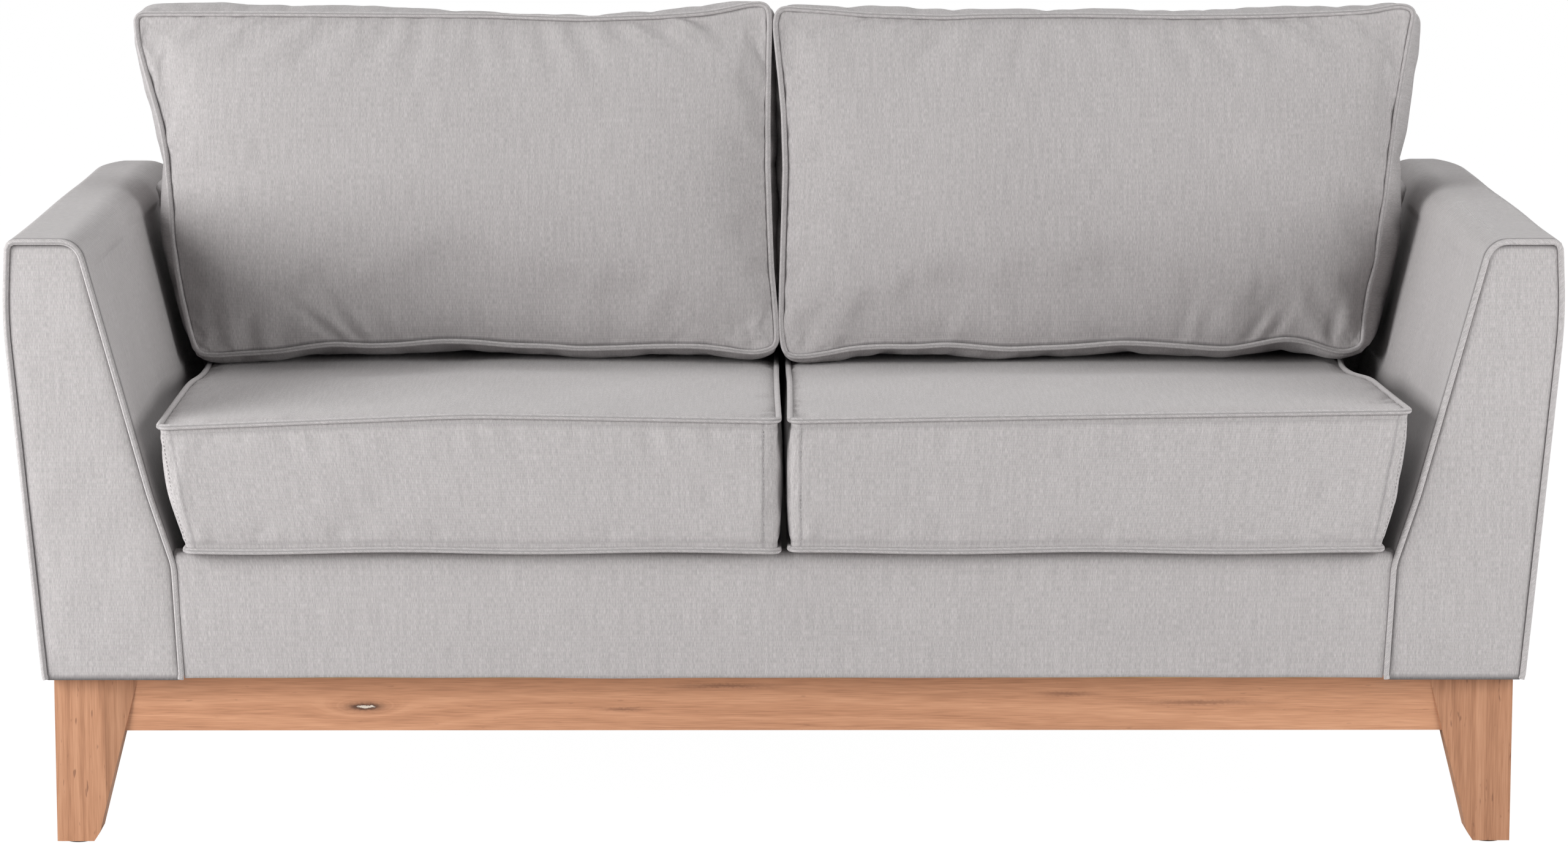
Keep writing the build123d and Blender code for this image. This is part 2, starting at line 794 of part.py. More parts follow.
def crown(plane, corners, draws, corner_radius, rise):
    """Panels that step inwards and up from a welt to the middle of a pillow's face."""
    sides = zip(corners, corners[1:] + corners[:1])
    reach = min((end - start).length for start, end in sides) / 2
    steps = []
    for inset_share, height_share in zip(crown_inset_shares, crown_height_shares):
        inset = reach * inset_share
        step_draws = [draw * (1 - inset_share) for draw in draws]
        steps.append(
            panel(
                plane.offset(rise * height_share),
                inset_corners(corners, inset),
                step_draws,
                corner_radius + inset / 4,
            )
        )
    return steps


def pillow(plane, cushion, wall=0):
    """The solid of a cushion, or of what fills it, a wall's thickness inside its cover."""
    base = inset_corners(cushion["base"], wall)
    top = inset_corners(cushion["top"], wall)
    middle = [
        (low + high) / 2 + bulge for low, high, bulge in zip(base, top, cushion["bulges"])
    ]
    draws = cushion["draws"]
    radius = cushion["radius"]
    base_plane = plane.offset(wall)
    top_plane = plane.offset(cushion["height"] - wall)
    middle_height = plane.offset(cushion["height"] / 2)
    with BuildPart() as body:
        loft(
            [
                panel(base_plane, base, draws, radius),
                panel(middle_height, middle, draws, radius),
                panel(top_plane, top, draws, radius),
            ]
        )
        loft(crown(top_plane, top, draws, radius, cushion["top_crown"]))
        loft(crown(base_plane, base, draws, radius, -cushion["base_crown"]))
    return body.part


def welt(plane, corners, draws, corner_radius):
    """A closed welt that runs round one panel, just outside its edge."""
    outline = panel(
        plane, inset_corners(corners, -welt_offset), draws, corner_radius + welt_offset
    )
    path = outline.face().outer_wire()
    with BuildPart() as cord:
        with BuildSketch(Plane(origin=path @ 0, z_dir=path % 0)):
            Circle(welt_radius)
        sweep(path=path)
    return cord.part


def write_cushion(plane, cushion, name, filling):
    """Write the cover, the filling and the two welts of a right and a left cushion."""
    with BuildPart() as cover:
        add(pillow(plane, cushion))
        add(pillow(plane, cushion, cushion_cover_wall), mode=Mode.SUBTRACT)
    write_pair(cover.part, f"{name}_cover")
    write_pair(pillow(plane, cushion, cushion_cover_wall + fit_gap), f"{name}_{filling}")
    draws = cushion["draws"]
    radius = cushion["radius"]
    top_plane = plane.offset(cushion["height"] + welt_offset)
    with BuildPart() as welts:
        add(welt(plane.offset(-welt_offset), cushion["base"], draws, radius))
        add(welt(top_plane, cushion["top"], draws, radius))
    write_pair(welts.part, f"{name}_welts")


welt_reach = welt_offset + welt_radius
seat_inner_x = seat_middle_gap / 2 + welt_reach
seat_reach_low = seat_half_width - seat_side_gap
seat_reach_high = seat_half_width + seat_flare
seat_front_edge = front_y - seat_overhang + welt_reach
seat_rear_edge = back_low_y - seat_rear_gap - welt_reach
seat_base_z = deck_height + fit_gap + seat_underside_crown
seat_cushion = {
    "base": [
        Vector(seat_inner_x, seat_front_edge),
        Vector(seat_reach_low, seat_front_edge),
        Vector(seat_reach_low, seat_rear_edge),
        Vector(seat_inner_x, seat_rear_edge),
    ],
    "top": [
        Vector(seat_inner_x, seat_front_edge),
        Vector(seat_reach_high, seat_front_edge),
        Vector(seat_reach_high, seat_rear_edge),
        Vector(seat_inner_x, seat_rear_edge),
    ],
    "bulges": [
        Vector(0, -seat_boxing_bulge),
        Vector(seat_boxing_bulge, -seat_boxing_bulge),
        Vector(seat_boxing_bulge, 0),
        Vector(0, 0),
    ],
    "draws": [seat_front_draw, seat_outer_draw, seat_rear_draw, seat_inner_draw],
    "radius": seat_corner_radius,
    "height": seat_boxing_height,
    "top_crown": seat_crown,
    "base_crown": seat_underside_crown,
}
write_cushion(Plane.XY.offset(seat_base_z), seat_cushion, "seat_cushion", "core")

recline = radians(back_recline)
lean_back = Vector(0, sin(recline), cos(recline))
faces_front = Vector(0, -cos(recline), sin(recline))
seat_top_z = seat_base_z + seat_boxing_height + seat_crown
back_base_z = seat_top_z + rest_gap + welt_reach - back_bottom_draw - back_cushion_settle
rear_foot_y = back_high_y - back_rest_clearance - (arm_height - back_base_z) * tan(recline)
rear_foot = Vector(0, rear_foot_y, back_base_z - back_cushion_thickness * sin(recline))
rear_lift = back_cushion_thickness * tan(recline)
back_inner_low = back_middle_gap_low / 2 + welt_reach
back_reach_low = seat_half_width + back_flare_low
back_reach_high = seat_half_width + back_flare_high
back_inner_high = back_middle_gap_high / 2 + welt_reach
back_cushion = {
    "base": [
        Vector(back_inner_low, rear_lift),
        Vector(back_reach_low, rear_lift),
        Vector(back_reach_high, back_cushion_height + back_cushion_rear_rise),
        Vector(back_inner_high, back_cushion_height + back_cushion_rear_rise),
    ],
    "top": [
        Vector(back_inner_low, 0),
        Vector(back_reach_low, 0),
        Vector(back_reach_high, back_cushion_height),
        Vector(back_inner_high, back_cushion_height),
    ],
    "bulges": [
        Vector(-back_inner_bulge, 0),
        Vector(back_outer_bulge, 0),
        Vector(back_outer_bulge, back_top_bulge),
        Vector(-back_inner_bulge, back_top_bulge),
    ],
    "draws": [back_bottom_draw, back_outer_draw, back_top_draw, back_inner_draw],
    "radius": back_corner_radius,
    "height": back_cushion_thickness,
    "top_crown": back_front_crown,
    "base_crown": back_rear_crown,
}
back_plane = Plane(origin=rear_foot, x_dir=(1, 0, 0), z_dir=faces_front)
write_cushion(back_plane, back_cushion, "back_cushion", "fill")
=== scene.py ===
"""Looks of a two-cushion fabric sofa on a fruitwood plinth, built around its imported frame."""

import logging
import math
from dataclasses import dataclass, replace
from enum import Enum
from typing import Callable, Sequence

import bpy
import numpy as np
from mathutils import Matrix, Vector


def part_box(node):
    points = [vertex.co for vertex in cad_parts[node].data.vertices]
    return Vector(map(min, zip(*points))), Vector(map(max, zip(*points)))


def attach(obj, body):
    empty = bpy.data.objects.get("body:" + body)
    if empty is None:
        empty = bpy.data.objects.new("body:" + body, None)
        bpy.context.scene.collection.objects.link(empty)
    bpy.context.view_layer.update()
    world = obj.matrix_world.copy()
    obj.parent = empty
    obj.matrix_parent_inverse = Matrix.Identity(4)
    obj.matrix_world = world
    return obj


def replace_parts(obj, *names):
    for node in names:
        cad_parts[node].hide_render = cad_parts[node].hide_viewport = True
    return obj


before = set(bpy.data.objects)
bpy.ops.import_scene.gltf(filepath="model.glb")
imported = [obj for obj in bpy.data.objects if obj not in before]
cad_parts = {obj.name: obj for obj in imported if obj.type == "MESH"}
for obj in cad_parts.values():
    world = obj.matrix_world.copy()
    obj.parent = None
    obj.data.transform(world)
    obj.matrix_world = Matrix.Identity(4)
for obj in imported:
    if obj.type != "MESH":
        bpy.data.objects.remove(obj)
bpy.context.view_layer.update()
LOG = logging.getLogger("sofa")
MM = 0.001
ARM_TOP = 657.0
SHOULDER = 560.0
FLAT_MAP = "weave"
# Vertex attribute that holds painted shade along seams and stitch grooves; it darkens the cloth's colour there.
SEAM_SHADE = "seam_shade"
ARC_STEPS = 13
THREAD_COLOUR = (0.400, 0.381, 0.381)
Array = np.ndarray
Rgb = tuple[float, float, float]


class Side(Enum):
    """The two ends of the sofa, as seen from the front."""

    LEFT = -1
    RIGHT = 1

    @property
    def word(self) -> str:
        """Name of the side as it stands in the frame's node names."""
        return self.name.lower()


class Grain(Enum):
    """Which way the wood's fibres run."""

    ACROSS = "x"
    DEEP = "y"
    UPRIGHT = "z"

    def spread(self, along: float, across: float) -> tuple[float, float, float]:
        """Repeats a metre on each axis, from those along and across the fibres."""
        return tuple(along if axis is self else across for axis in Grain)


# Lines and grids.


def even_line(points: Array, count: int, crowding: float = 0.0) -> Array:
    """Spread points along an open line.

    Args:
        points: Places on the line, one row each.
        count: How many places to return.
        crowding: From 0, even, to just under 1, closer together at both ends.

    Returns:
        The new places.
    """
    line = np.asarray(points, float)
    lengths = np.linalg.norm(np.diff(line, axis=0), axis=1)
    along = np.concatenate(([0.0], np.cumsum(lengths)))
    share = np.linspace(0.0, 1.0, count)
    share = share - crowding * np.sin(2 * math.pi * share) / (2 * math.pi)
    wanted = share * along[-1]
    return np.stack([np.interp(wanted, along, line[:, k]) for k in range(line.shape[1])], axis=1)


def soft_line(points: Array, count: int, crowding: float = 0.0, passes: int = 10) -> Array:
    """Run a smooth line past a few control places and keep its ends.

    Args:
        points: The control places, one row each.
        count: How many places to return.
        crowding: As for even_line.
        passes: How often the line is eased.

    Returns:
        The smooth line's places.
    """
    line = even_line(points, 161)
    for _ in range(passes):
        line[1:-1] = 0.25 * line[:-2] + 0.5 * line[1:-1] + 0.25 * line[2:]
    return even_line(line, count, crowding)


def rounded_line(corners: Sequence[tuple[float, float]], radii: Sequence[float]) -> Array:
    """Round the inner corners of an open outline.

    Args:
        corners: The outline's corners.
        radii: A radius for each corner but the first and last.

    Returns:
        Places along the rounded outline.
    """
    places = [np.array(corners[0], float)]
    for before, corner, after, radius in zip(corners, corners[1:], corners[2:], radii):
        here = np.array(corner, float)
        back, ahead = np.array(before) - here, np.array(after) - here
        back, ahead = back / np.linalg.norm(back), ahead / np.linalg.norm(ahead)
        half = math.acos(float(np.clip(back @ ahead, -1, 1))) / 2
        reach = radius / math.tan(half)
        middle = here + (back + ahead) / np.linalg.norm(back + ahead) * radius / math.sin(half)
        start, end = here + back * reach - middle, here + ahead * reach - middle
        swing = math.acos(float(np.clip(start @ end / radius**2, -1, 1)))
        for step in np.linspace(0, 1, ARC_STEPS):
            arc = (math.sin((1 - step) * swing) * start + math.sin(step * swing) * end) / math.sin(swing)
            places.append(middle + arc)
    places.append(np.array(corners[-1], float))
    return np.array(places)


def patch(bottom: Array, top: Array, left: Array, right: Array) -> Array:
    """Fill four joined edge lines with a grid.

    Args:
        bottom: Edge from the left corner to the right one.
        top: The opposite edge, in the same direction.
        left: Edge from the bottom corner to the top one.
        right: The opposite edge, in the same direction.

    Returns:
        The grid's places, with the edges themselves on its rim.
    """
    u = np.linspace(0, 1, len(bottom))[:, None, None]
    v = np.linspace(0, 1, len(left))[None, :, None]
    ruled = (1 - v) * bottom[:, None] + v * top[:, None] + (1 - u) * left[None] + u * right[None]
    cross = (1 - u) * (1 - v) * bottom[0] + u * (1 - v) * bottom[-1]
    cross = cross + (1 - u) * v * top[0] + u * v * top[-1]
    grid = ruled - cross
    grid[:, 0], grid[:, -1], grid[0], grid[-1] = bottom, top, left, right
    return grid


class Ripple:
    """Smooth seeded unevenness, from -1 to 1, made of sine waves in set directions."""

    def __init__(self, seed: int, wavelength: float, axes: int = 3, waves: int = 9) -> None:
        """Draw the waves.

        Args:
            seed: Fixed seed of the draw.
            wavelength: Middle wavelength, in metres.
            axes: How many coordinates a place has.
            waves: How many waves are added.
        """
        draw = np.random.default_rng(seed)
        turns = draw.normal(size=(waves, axes))
        turns /= np.linalg.norm(turns, axis=1)[:, None]
        self.pulses = turns * (2 * math.pi / wavelength) * draw.uniform(0.6, 1.6, waves)[:, None]
        self.phases = draw.uniform(0, 2 * math.pi, waves)

    def at(self, places: Array) -> Array:
        """Value at each place, whose coordinates are the last axis."""
        waves = np.sin(places @ self.pulses.T + self.phases)
        return waves.sum(axis=-1) / math.sqrt(len(self.phases)) * 0.8


class Shell:
    """A mesh sewn from grids, with the cloth's flat places kept as a UV map."""

    def __init__(self) -> None:
        """Start with nothing sewn."""
        self.places: list[Array] = []
        self.faces: list[list[int]] = []
        self.flat: list[Array] = []
        # Painted seam shade of some vertices, from 0 to 1, by vertex number.
        self.seams: dict[int, float] = {}
        self._known: dict[tuple[int, ...], int] = {}

    def _index(self, place: Array) -> int:
        """Number of the vertex at a place, made if there is none yet."""
        key = tuple(int(round(c * 2e5)) for c in place)
        if key not in self._known:
            self._known[key] = len(self.places)
            self.places.append(place)
        return self._known[key]

    def sew(self, grid: Array, flat: Array, inside: Array) -> Array:
        """Add a grid, joined to what is there where the places are the same.

        Args:
            grid: Places in rows and columns.
            flat: The cloth's flat coordinates of each place, in metres.
            inside: A place behind the grid, that its faces turn away from.

        Returns:
            The vertex number of each place.
        """
        rows, columns = grid.shape[:2]
        numbers = np.array([[self._index(grid[i, j]) for j in range(columns)] for i in range(rows)])
        i, j = rows // 2, columns // 2
        normal = np.cross(grid[i, j] - grid[i - 1, j], grid[i, j] - grid[i, j - 1])
        forward = float(normal @ (grid[i, j] - inside)) >= 0
        for i in range(rows - 1):
            for j in range(columns - 1):
                ring = [(i, j), (i + 1, j), (i + 1, j + 1), (i, j + 1)]
                if not forward:
                    ring.reverse()
                loop = [int(numbers[k]) for k in ring]
                if len(set(loop)) == 4:
                    self.faces.append(loop)
                    self.flat.append(np.array([flat[k] for k in ring]))
        return numbers

    def mark_rim(self, numbers: Array, shades: Sequence[float]) -> None:
        """Paint shade along the seam round a sewn grid, row by row from its rim inwards, for the crevice beside the
        piping.
        """
        for step, shade in reversed(list(enumerate(shades))):
            inner = numbers[step: len(numbers) - step, step: numbers.shape[1] - step]
            for row in (inner[0], inner[-1], inner[:, 0], inner[:, -1]):
                self.seams.update((int(k), shade) for k in row)

    def piece(self, name: str, material: bpy.types.Material) -> bpy.types.Object:
        """Make the sewn mesh an object.

        Args:
            name: The piece's name.
            material: Its finish.

        Returns:
            The new object, at the origin.
        """
        mesh = bpy.data.meshes.new(name)
        mesh.from_pydata([tuple(p) for p in self.places], [], self.faces)
        layer = mesh.uv_layers.new(name=FLAT_MAP)
        layer.data.foreach_set("uv", np.concatenate(self.flat).astype(np.float32).ravel())
        mesh.polygons.foreach_set("use_smooth", [True] * len(mesh.polygons))
        # The painted seam shade of each vertex, read by the cloth's material.
        shades = mesh.attributes.new(SEAM_SHADE, "FLOAT", "POINT")
        shades.data.foreach_set("value", [self.seams.get(k, 0.0) for k in range(len(self.places))])
        mesh.materials.append(material)
        piece = bpy.data.objects.new(name, mesh)
        bpy.context.scene.collection.objects.link(piece)
        return piece


def flat_of(grid: Array) -> Array:
    """Lay a grid flat by its middle lines.

    Args:
        grid: Places in rows and columns.

    Returns:
        Flat coordinates of each place, width first.
    """
    down = np.linalg.norm(np.diff(grid, axis=0), axis=2).cumsum(axis=0)
    over = np.linalg.norm(np.diff(grid, axis=1), axis=2).cumsum(axis=1)
    first = np.concatenate((np.zeros((1, grid.shape[1])), down)).mean(axis=1)[:, None]
    second = np.concatenate((np.zeros((grid.shape[0], 1)), over), axis=1).mean(axis=0)[None]
    return np.stack(np.broadcast_arrays(first, second), axis=2)


def thicken(piece: bpy.types.Object, thickness: float) -> None:
    """Give an open cloth or panel its thickness, on its inner side."""
    wall = piece.modifiers.new("wall", "SOLIDIFY")
    wall.thickness, wall.offset = thickness, -1.0


def subdivide(piece: bpy.types.Object) -> None:
    """Round a piece's faces off, the same in view and render."""
    finer = piece.modifiers.new("finer", "SUBSURF")
    finer.levels = finer.render_levels = 1
    finer.boundary_smooth = "PRESERVE_CORNERS"


def wired(
    tree: bpy.types.NodeTree, kind: str, inputs: dict[str | int, object], **settings: object,
) -> bpy.types.Node:
    """Add a node to a tree.

    Args:
        tree: The node tree.
        kind: The node's type.
        inputs: Sockets to join or values to set, by name or number.
        **settings: The node's own settings.

    Returns:
        The node.
    """
    node = tree.nodes.new(kind)
    for word, value in settings.items():
        setattr(node, word, value)
    for word, value in inputs.items():
        if isinstance(value, bpy.types.NodeSocket):
            tree.links.new(value, node.inputs[word])
        else:
            node.inputs[word].default_value = value
    return node


# Geometry Nodes trees.


class NodeTree:
    """A Geometry Nodes tree that dresses a path, with named inputs for its sizes."""

    def __init__(self, name: str, sizes: Sequence[tuple[str, str, float]]) -> None:
        """Open the tree and its sockets.

        Args:
            name: The tree's name.
            sizes: Name, socket type and default of each size input.
        """
        self.tree = bpy.data.node_groups.new(name, "GeometryNodeTree")
        sockets = self.tree.interface
        sockets.new_socket("Path", in_out="INPUT", socket_type="NodeSocketGeometry")
        self.keys: dict[str, str] = {}
        for word, kind, default in sizes:
            socket = sockets.new_socket(word, in_out="INPUT", socket_type=kind)
            socket.default_value = default
            self.keys[word] = socket.identifier
        finish = sockets.new_socket("Finish", in_out="INPUT", socket_type="NodeSocketMaterial")
        self.keys["Finish"] = finish.identifier
        sockets.new_socket("Dressed", in_out="OUTPUT", socket_type="NodeSocketGeometry")
        self.start = self.tree.nodes.new("NodeGroupInput")
        self.end = self.tree.nodes.new("NodeGroupOutput")

    def add(self, kind: str, inputs: dict[str | int, object], **settings: object) -> bpy.types.Node:
        """Add a node to this tree, as wired does."""
        return wired(self.tree, kind, inputs, **settings)

    def close(self, made: bpy.types.NodeSocket) -> None:
        """Realize, dress and hand out what was made."""
        real = self.add("GeometryNodeRealizeInstances", {"Geometry": made})
        dressed = self.add(
            "GeometryNodeSetMaterial",
            {"Geometry": real.outputs[0], "Material": self.start.outputs["Finish"]},
        )
        self.tree.links.new(dressed.outputs[0], self.end.inputs["Dressed"])

    def run(
        self,
        name: str,
        lines: Sequence[Array],
        closed: bool,
        material: bpy.types.Material,
        **sizes: float,
    ) -> bpy.types.Object:
        """Run the tree along lines and keep the result as a plain mesh.

        Args:
            name: The new piece's name.
            lines: Places of each line.
            closed: Whether each line returns to its start.
            material: The finish.
            **sizes: The tree's sizes, by input name.

        Returns:
            The new object, at the origin.
        """
        places, edges = [], []
        for line in lines:
            first, count = len(places), len(line)
            places += [tuple(p) for p in line]
            last = count if closed else count - 1
            edges += [(first + k, first + (k + 1) % count) for k in range(last)]
        path = bpy.data.meshes.new(name + "_path")
        path.from_pydata(places, edges, [])
        carrier = bpy.data.objects.new(name + "_path", path)
        dress = carrier.modifiers.new("dress", "NODES")
        dress.node_group = self.tree
        for word, value in sizes.items():
            dress[self.keys[word]] = value
        dress[self.keys["Finish"]] = material
        bpy.context.scene.collection.objects.link(carrier)
        view = bpy.context.evaluated_depsgraph_get()
        mesh = bpy.data.meshes.new_from_object(
            carrier.evaluated_get(view), preserve_all_data_layers=True, depsgraph=view
        )
        mesh.name = name
        bpy.data.objects.remove(carrier)
        bpy.data.meshes.remove(path)
        piece = bpy.data.objects.new(name, mesh)
        bpy.context.scene.collection.objects.link(piece)
        return piece


def piping_tree() -> NodeTree:
    """Make the tree that runs a covered cord along a seam."""
    tree = NodeTree("covered_cord", [
        ("Radius", "NodeSocketFloat", 0.0032),
        ("Sides", "NodeSocketInt", 12),
    ])
    line = tree.add("GeometryNodeMeshToCurve", {"Mesh": tree.start.outputs["Path"]})
    along = tree.add("GeometryNodeSplineParameter", {})
    kept = tree.add("GeometryNodeCaptureAttribute", {"Geometry": line.outputs[0]}, domain="POINT")
    kept.capture_items.new("FLOAT", "along")
    tree.tree.links.new(along.outputs["Length"], kept.inputs["along"])
    ring = tree.add("GeometryNodeCurvePrimitiveCircle", {
        "Resolution": tree.start.outputs["Sides"], "Radius": tree.start.outputs["Radius"],
    })
    around = tree.add("GeometryNodeSplineParameter", {})
    kept_ring = tree.add("GeometryNodeCaptureAttribute", {"Geometry": ring.outputs[0]}, domain="POINT")
    kept_ring.capture_items.new("FLOAT", "around")
    tree.tree.links.new(around.outputs["Length"], kept_ring.inputs["around"])
    tube = tree.add("GeometryNodeCurveToMesh", {
        "Curve": kept.outputs["Geometry"], "Profile Curve": kept_ring.outputs["Geometry"],
        "Fill Caps": True,
    })
    flat = tree.add("ShaderNodeCombineXYZ", {"X": kept_ring.outputs["around"], "Y": kept.outputs["along"]})
    mapped = tree.add("GeometryNodeStoreNamedAttribute", {
        "Geometry": tube.outputs[0], "Name": FLAT_MAP, "Value": flat.outputs[0],
    }, data_type="FLOAT2", domain="CORNER")
    smooth = tree.add("GeometryNodeSetShadeSmooth", {"Geometry": mapped.outputs[0]})
    tree.close(smooth.outputs[0])
    return tree


def stitch_tree() -> NodeTree:
    """Make the tree that lays a row of stitches along a line."""
    tree = NodeTree("stitch_row", [
        ("Pitch", "NodeSocketFloat", 0.0042),
        ("Length", "NodeSocketFloat", 0.003),
        ("Thickness", "NodeSocketFloat", 0.0008),
        ("Seed", "NodeSocketInt", 3),
    ])
    line = tree.add("GeometryNodeMeshToCurve", {"Mesh": tree.start.outputs["Path"]})
    spots = tree.add("GeometryNodeResampleCurve", {
        "Curve": line.outputs[0], "Length": tree.start.outputs["Pitch"],
    }, mode="LENGTH")
    bead = tree.add("GeometryNodeMeshIcoSphere", {"Radius": 0.5, "Subdivisions": 1})
    size = tree.add("ShaderNodeCombineXYZ", {
        "X": tree.start.outputs["Length"], "Y": tree.start.outputs["Thickness"],
        "Z": tree.start.outputs["Thickness"],
    })
    stitch = tree.add("GeometryNodeTransform", {"Geometry": bead.outputs[0], "Scale": size.outputs[0]})
    smooth = tree.add("GeometryNodeSetShadeSmooth", {"Geometry": stitch.outputs[0]})
    heading = tree.add("GeometryNodeInputTangent", {})
    turn = tree.add("FunctionNodeAlignRotationToVector", {"Vector": heading.outputs[0]}, axis="X")
    uneven = tree.add("FunctionNodeRandomValue", {
        "Seed": tree.start.outputs["Seed"], 2: 0.86, 3: 1.08,
    }, data_type="FLOAT")
    row = tree.add("GeometryNodeInstanceOnPoints", {
        "Points": spots.outputs[0], "Instance": smooth.outputs[0],
        "Rotation": turn.outputs[0], "Scale": uneven.outputs[1],
    })
    tree.close(row.outputs[0])
    return tree


# Finishes.


class Dye:
    """Writes one material's nodes."""

    def __init__(self, name: str) -> None:
        """Open an empty material."""
        self.material = bpy.data.materials.new(name)
        self.material.use_nodes = True
        self.tree = self.material.node_tree
        self.tree.nodes.clear()

    def add(self, kind: str, inputs: dict[str | int, object], **settings: object) -> bpy.types.NodeSocket:
        """Add a node, as wired does, and return its first output."""
        outputs = wired(self.tree, kind, inputs, **settings).outputs
        return outputs[0] if outputs else None

    def place(self) -> bpy.types.NodeSocket:
        """The object's own coordinates."""
        return wired(self.tree, "ShaderNodeTexCoord", {}).outputs["Object"]

    def math(self, operation: str, *values: object) -> bpy.types.NodeSocket:
        """Add a calculation with one to three values."""
        return self.add("ShaderNodeMath", dict(enumerate(values)), operation=operation)

    def total(self, *terms: tuple[object, float]) -> bpy.types.NodeSocket:
        """Add values up, each times its weight."""
        parts = [value if weight == 1 else self.math("MULTIPLY", value, weight) for value, weight in terms]
        whole = parts[0]
        for part in parts[1:]:
            whole = self.math("ADD", whole, part)
        return whole

    def noise(self, vector: bpy.types.NodeSocket, scale: Sequence[float], **extra: float) -> bpy.types.NodeSocket:
        """Add a noise whose grain is stretched by scale, in repeats a metre."""
        places = self.add("ShaderNodeVectorMath", {0: vector, 1: tuple(scale)}, operation="MULTIPLY")
        return self.add("ShaderNodeTexNoise", {"Vector": places, "Scale": 1.0, **extra})

    def ramp(self, value: bpy.types.NodeSocket, stops: Sequence[tuple[float, Rgb]]) -> bpy.types.NodeSocket:
        """Turn a value into a colour.

        Args:
            value: The value, from 0 to 1.
            stops: Place and colour of each stop.

        Returns:
            The colour.
        """
        colour = self.add("ShaderNodeValToRGB", {"Fac": value})
        band = colour.node.color_ramp
        band.elements[0].position, band.elements[-1].position = stops[0][0], stops[-1][0]
        band.elements[0].color, band.elements[-1].color = (*stops[0][1], 1), (*stops[-1][1], 1)
        for place, tint in stops[1:-1]:
            band.elements.new(place).color = (*tint, 1)
        return colour

    def mix(self, share: object, first: object, second: object, blend: str = "MIX") -> bpy.types.NodeSocket:
        """Mix two colours by a share."""
        inputs = {0: share, 6: first, 7: second}
        inputs = {k: (*value, 1) if isinstance(value, tuple) else value for k, value in inputs.items()}
        return wired(self.tree, "ShaderNodeMix", inputs, data_type="RGBA", blend_type=blend).outputs[2]

    def dress(
        self, colour: object, rough: object, height: object, depth: float, **fixed: float,
    ) -> bpy.types.Material:
        """Join the surface's inputs.

        Args:
            colour: Colour socket.
            rough: Roughness socket or value.
            height: Height socket of the relief.
            depth: Depth of the relief, in metres.
            **fixed: Other shader inputs, set to plain values.

        Returns:
            The finished material.
        """
        relief = self.add("ShaderNodeBump", {"Height": height, "Distance": depth, "Strength": 1.0})
        surface = {"Base Color": colour, "Roughness": rough, "Normal": relief}
        surface.update((word.replace("_", " "), value) for word, value in fixed.items())
        shader = self.add("ShaderNodeBsdfPrincipled", surface)
        self.add("ShaderNodeOutputMaterial", {"Surface": shader})
        return self.material


@dataclass(frozen=True)
class Chenille:
    """Heathered woven upholstery cloth with fine slubs along its length."""

    name: str
    dark: Rgb = (0.384, 0.365, 0.365)
    middle: Rgb = (0.478, 0.455, 0.455)
    light: Rgb = (0.566, 0.541, 0.542)
    fleck_width: float = 0.60 * MM
    fleck_length: float = 6.0 * MM
    slub_width: float = 2.4 * MM
    slub_length: float = 48.0 * MM
    thread_pitch: float = 1.3 * MM
    relief: float = 0.32 * MM
    turn: float = 0.0
    seam_depth: float = 0.72

    def make(self) -> bpy.types.Material:
        """Make the cloth's material, read in the cloth's flat coordinates."""
        dye = Dye(self.name)
        flat = dye.add("ShaderNodeUVMap", {}, uv_map=FLAT_MAP)
        flat = dye.add("ShaderNodeMapping", {"Vector": flat, "Rotation": (0.0, 0.0, self.turn)})
        fleck = dye.noise(flat, (1 / self.fleck_width, 1 / self.fleck_length, 1), Detail=3.0, Roughness=0.6)
        slub = dye.noise(flat, (1 / self.slub_width, 1 / self.slub_length, 1), Detail=2.0)
        cloud = dye.noise(flat, (9.0, 5.0, 1.0), Detail=3.0)
        warp = self._threads(dye, flat, "X", self.thread_pitch)
        weft = self._threads(dye, flat, "Y", self.thread_pitch * 1.25)
        woven = dye.math("MULTIPLY", warp, weft)
        tone = dye.total((fleck, 0.66), (slub, 0.20), (woven, 0.14))
        colour = dye.ramp(tone, [(0.38, self.dark), (0.485, self.middle), (0.59, self.light)])
        shade = dye.ramp(cloud, [(0.30, (0.97, 0.97, 0.97)), (0.70, (1.0, 1.0, 1.0))])
        colour = dye.mix(1.0, colour, shade, "MULTIPLY")
        # Painted shade: the seam shade attribute darkens the cloth towards near-black along seams and stitch grooves,
        # where their crevices fall in shade.
        line = wired(dye.tree, "ShaderNodeAttribute", {}, attribute_name=SEAM_SHADE)
        painted_seam_shade = dye.math("MULTIPLY", line.outputs["Fac"], self.seam_depth)
        colour = dye.mix(painted_seam_shade, colour, tuple(c * 0.16 for c in self.dark))
        height = dye.total((woven, 0.6), (fleck, 0.6))
        return dye.dress(
            colour, 0.94, height, self.relief, Sheen_Weight=0.18, Sheen_Roughness=0.45,
            Specular_IOR_Level=0.15,
        )

    def _threads(self, dye: Dye, flat: bpy.types.NodeSocket, axis: str, pitch: float) -> bpy.types.NodeSocket:
        """Bands of one set of threads, a pitch apart."""
        return dye.add(
            "ShaderNodeTexWave",
            {"Vector": flat, "Scale": math.pi / 10 / pitch, "Distortion": 1.2, "Detail Scale": 2.0},
            wave_type="BANDS", bands_direction=axis,
        )


@dataclass(frozen=True)
class Mark:
    """A figure in the wood: a knot's eye or a dark streak, by its middle and half sizes."""

    x: float
    z: float
    reach: float
    height: float
    swell: float = 0.0


